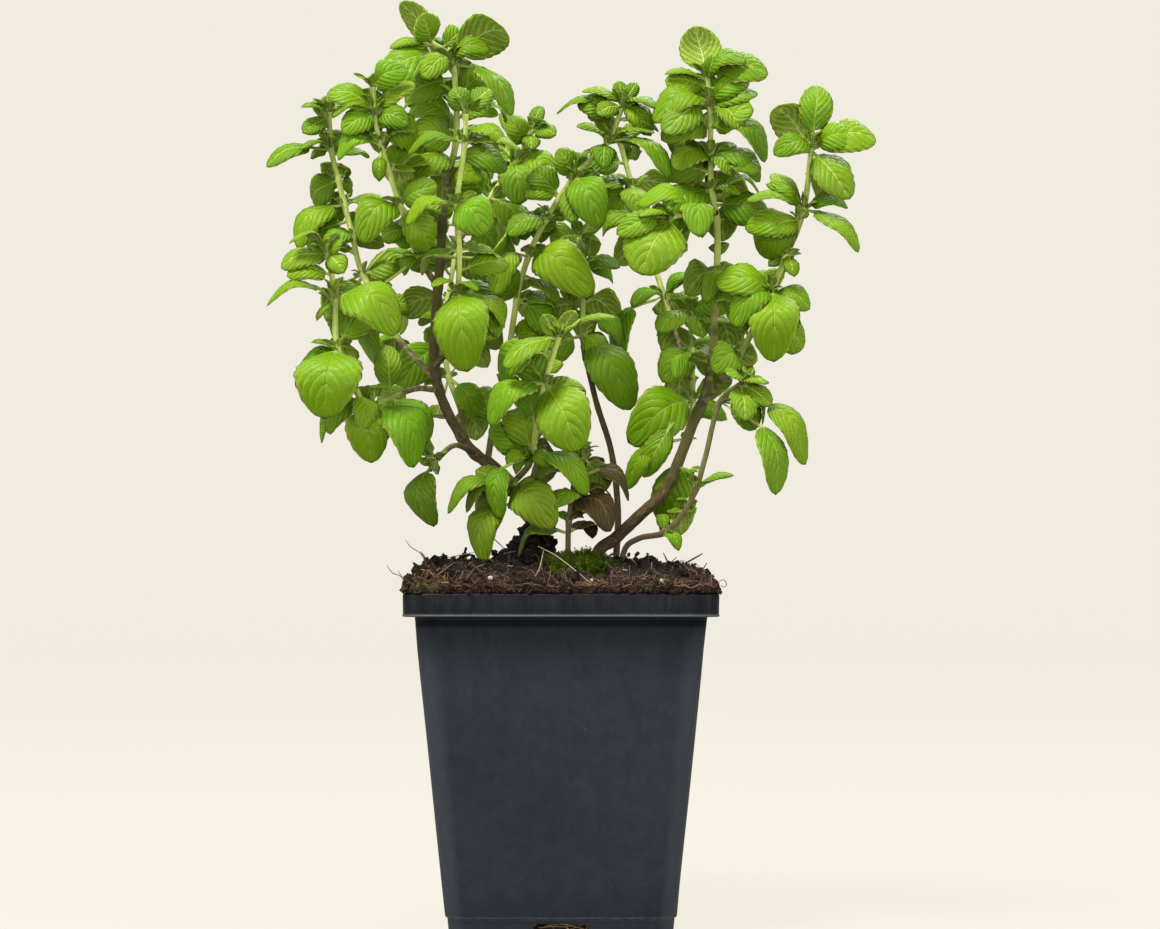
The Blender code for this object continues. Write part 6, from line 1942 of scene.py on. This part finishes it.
def stiff_bits(count, half, lengths, rises, lift, stops, radii):
    """Straight bits of straw or twig that lie on the ground and poke up from it."""
    lines = []
    for k in range(count):
        x, y = draw.uniform(-half[0], half[0]), draw.uniform(-half[1], half[1])
        turn = draw.uniform(0, math.tau)
        long = draw.uniform(*lengths)
        reach = Vector((math.cos(turn), math.sin(turn), draw.uniform(*rises))) * long
        start = Vector((x, y, ground(x, y) + lift))
        if inside_lid(x + reach.x, y + reach.y, STRAW_HALF):
            lines.append(([start + reach * stop for stop in stops], draw.uniform(*radii)))
    return lines


straw_lines = stiff_bits(
    STRAWS, half=(40, 43), lengths=(3.5, 9.0), rises=(-0.05, 0.25), lift=0.5, stops=(0.0, 0.35, 0.7, 1.0),
    radii=(0.12, 0.24),
)
twig_lines = stiff_bits(
    TWIGS, half=(42, 42), lengths=(2.5, 7.0), rises=(0.1, 0.9), lift=-0.3, stops=(0.0, 0.3, 0.65, 1.0),
    radii=(0.16, 0.4),
)

# %% Straws that stand out
standing = [
    ([(-6.5, 111.2, -20), (-1.5, 108.6, -25), (4.0, 104.4, -29), (8.6, 100.6, -32.4)], 1.5, 0.15),
    ([(-4.9, 110, -24), (-6.1, 105, -28), (-7.4, 102.6, -32)], 1.2, 0.11),
]
for line, step, radius in standing:
    straw_lines.append((smooth_route([seen(*point) for point in line], step), radius))
loose = [
    [(-44.4, 101.5, -30), (-45.8, 103.0, -31), (-47.6, 103.6, -31), (-49.3, 105.8, -31)],
    [(-42.6, 101.0, -32), (-44.6, 102.3, -32), (-46.2, 104.2, -32)],
    [(-38.0, 106.0, -10), (-39.8, 109.2, -10), (-42.5, 111.0, -10), (-44.0, 113.0, -10)],
    [(44.4, 101.0, -30), (46.0, 101.8, -30), (46.9, 100.4, -30), (46.0, 99.6, -30), (45.2, 100.2, -30)],
    [(14.0, 106.5, -12), (17.5, 108.2, -13), (20.5, 106.5, -14), (23.4, 104.0, -15)],
]
for line in loose:
    twig_lines.append((smooth_route([seen(*point) for point in line], 0.8), 0.13))

# %% Roots in the drain slots
root_lines = []
for quarter in range(4):
    turn = Matrix.Rotation(math.radians(90) * quarter, 3, "Z")
    for k in range(SLOT_ROOTS):
        x, z = draw.uniform(-7.5, 7.5), draw.uniform(1.6, 3.6)
        line, heading = [], draw.choice((0.0, math.pi)) + draw.uniform(-0.5, 0.5)
        for i in range(12):
            heading += draw.uniform(-0.5, 0.5)
            x = min(max(x + 0.9 * math.cos(heading), -7.4), 7.4)
            z = min(max(z + 0.5 * math.sin(heading), 1.5), 3.9)
            line.append(turn @ Vector((x, -inner_base - 0.25 + draw.uniform(-0.15, 0.35), z)))
        root_lines.append((line, draw.uniform(0.14, 0.34)))
print(len(fibre_lines), "fibres,", len(straw_lines), "straws,", len(twig_lines), "twigs")
print(len(root_lines), "roots in the slots")


# %% Joining the soil
def joined(name, meshes):
    """One mesh from several, each keeping its own finishes."""
    items = [bpy.data.objects.new(name, mesh) for mesh in meshes]
    for item in items:
        scene.collection.objects.link(item)
    chosen = dict(active_object=items[0], selected_editable_objects=items, selected_objects=items)
    with bpy.context.temp_override(**chosen):
        bpy.ops.object.join()
    mesh = items[0].data
    bpy.data.objects.remove(items[0], do_unlink=True)
    return mesh


soil_parts = [
    soil_mesh, crumbs_small, crumbs_large, crumbs_white, strand_mesh(fibre_lines, fibre, 4),
    strand_mesh(straw_lines, straw), strand_mesh(twig_lines, twig), strand_mesh(root_lines, fibre),
]
piece("soil_crumbly", joined("soil_crumbly", soil_parts), "peat", "soil")

# %% [markdown]
# ## The moss
#
# A cushion of moss grows on the peat between the stems. It is a low mound of tiny upright sprigs, each
# ringed with pointed leaves. A sprig is small enough to be a few triangles; the tree stands them close
# together on the cushion, and gives each its own lean and size.

# %% Moss
MOSS_CENTRE, MOSS_HALF, MOSS_RISE, MOSS_SKIRT = (4.0, -24.0), 9.5, 1.7, 2.2
WHORLS = 4


def moss_cushion():
    """A low, bumpy mound on the ground, with a skirt that dips into the peat."""
    rings, around = 16, 56
    points, faces = [], []
    for r in range(1, rings + 1):
        for k in range(around):
            turn = math.tau * k / around
            away = r / rings
            ragged = 1 + 0.16 * noise.noise(Vector((math.cos(turn) * 1.6, math.sin(turn) * 1.6, 9.0)))
            x = MOSS_CENTRE[0] + MOSS_HALF * 1.04 * away * ragged * math.cos(turn)
            y = MOSS_CENTRE[1] + MOSS_HALF * 1.04 * away * ragged * math.sin(turn)
            rise = MOSS_RISE * (1 - away ** 2.2) - 0.9 * away ** 6
            lumps = 0.5 * noise.noise(Vector((x * 0.6, y * 0.6, 4.0)))
            points.append(Vector((x, y, ground(x, y) + rise + lumps)) * MM)
    centre = len(points)
    points.append(Vector((*MOSS_CENTRE, ground(*MOSS_CENTRE) + MOSS_RISE)) * MM)
    for k in range(around):
        faces.append((centre, k, (k + 1) % around))
    for r in range(rings - 1):
        for k in range(around):
            n = (k + 1) % around
            faces.append((r * around + k, (r + 1) * around + k, (r + 1) * around + n, r * around + n))
    below = len(points)
    outer = (rings - 1) * around
    points += [point - Vector((0, 0, MOSS_SKIRT)) * MM for point in points[outer:outer + around]]
    for k in range(around):
        n = (k + 1) % around
        faces.append((outer + k, below + k, below + n, outer + n))
    faces.append(tuple(range(below, below + around))[::-1])
    return plain_mesh("moss_cushion", points, faces)


def sprig_mesh():
    """A tiny shoot of moss: four whorls of pointed leaves, 2.4 mm tall."""
    points, faces = [], []
    for level in range(WHORLS):
        z, reach = 0.35 + level * 0.5, 0.75 - level * 0.12
        for k in range(4):
            turn = math.radians(90 * k + 41 * level)
            out = Vector((math.cos(turn), math.sin(turn), 0.0))
            side = Vector((-out.y, out.x, 0.0)) * 0.14
            start = len(points)
            tip = out * reach + Vector((0, 0, z + 0.55))
            points += [Vector((0, 0, z)) + side, Vector((0, 0, z)) - side, tip]
            faces.append((start, start + 1, start + 2))
    return plain_mesh("sprig", [point * MM for point in points], faces)


def moss_tree():
    tree, given, end = geometry_tree(
        "moss", ("Density", "Float", 4200000.0), ("Sprig", "Object"), ("Seed", "Int", 2),
        ("Finish", "Material"),
    )
    feeds = {"Mesh": given["Geometry"], "Density": given["Density"], "Seed": given["Seed"]}
    spread = add(tree, "GeometryNodeDistributePointsOnFaces", feeds)
    sprig = add(tree, "GeometryNodeObjectInfo", {"Object": given["Sprig"]}).outputs["Geometry"]
    up = Field(spread.outputs["Normal"]) * 0.5 + (0.0, -0.1, 0.5)
    stand = add(tree, "FunctionNodeAlignRotationToVector", {"Vector": up}, axis="Z").outputs["Rotation"]
    turned = leaned(tree, stand, 4, 0.6)
    size = random_value(tree, 7, 0.4, 1.5)
    points = spread.outputs["Points"]
    sprigs = through(tree, "InstanceOnPoints", points, Instance=sprig, Rotation=turned, Scale=size)
    dress(tree, end, join(tree, given["Geometry"], sprigs), given["Finish"])
    return tree


moss_finish, tree, shader = new_finish("moss", Roughness=0.7, Specular_IOR_Level=0.1)
tufts = use(tree, mottling, Scale=420.0, Seed=2.0)
depth_tone = use(tree, mottling, Scale=110.0, Seed=14.0)
green = mix(tree, tufts["Patches"] * 0.6 + tufts["Fine"] * 0.4, (0.010, 0.020, 0.001), (0.085, 0.135, 0.003))
feed(shader.inputs["Base Color"], mix(tree, depth_tone["Patches"] * 0.55, green, (0.022, 0.018, 0.004)))
sprig = bpy.data.objects.new("sprig", sprig_mesh())
scene.collection.objects.link(sprig)
moss_mesh = grow(moss_tree(), moss_cushion(), {"Sprig": sprig, "Finish": moss_finish})
bpy.data.objects.remove(sprig, do_unlink=True)
piece("moss_sprigs", moss_mesh, "moss", "moss")

# %% [markdown]
# ## Paper floor finish
#
# The floor and backdrop are plain pale paper, so that nothing competes with the plant.

# %% Floor finish
paper, tree, shader = new_finish("paper", Roughness=0.9)
fibres = use(tree, mottling, Scale=4.0)
dull = shade(PAPER, 0.05)
feed(shader.inputs["Base Color"], mix(tree, fibres["Fine"] * 0.1, dull, shade(dull, 0.9)))
seen_directly = Field(add(tree, "ShaderNodeLightPath").outputs["Is Camera Ray"])
feed(shader.inputs["Emission Color"], mix(tree, seen_directly, shade(PAPER, 0.4), PAPER))
shader.inputs["Emission Strength"].default_value = 0.955
shader.inputs["Specular IOR Level"].default_value = 0.0
paper.cycles.emission_sampling = "NONE"
floor.data.materials.append(paper)
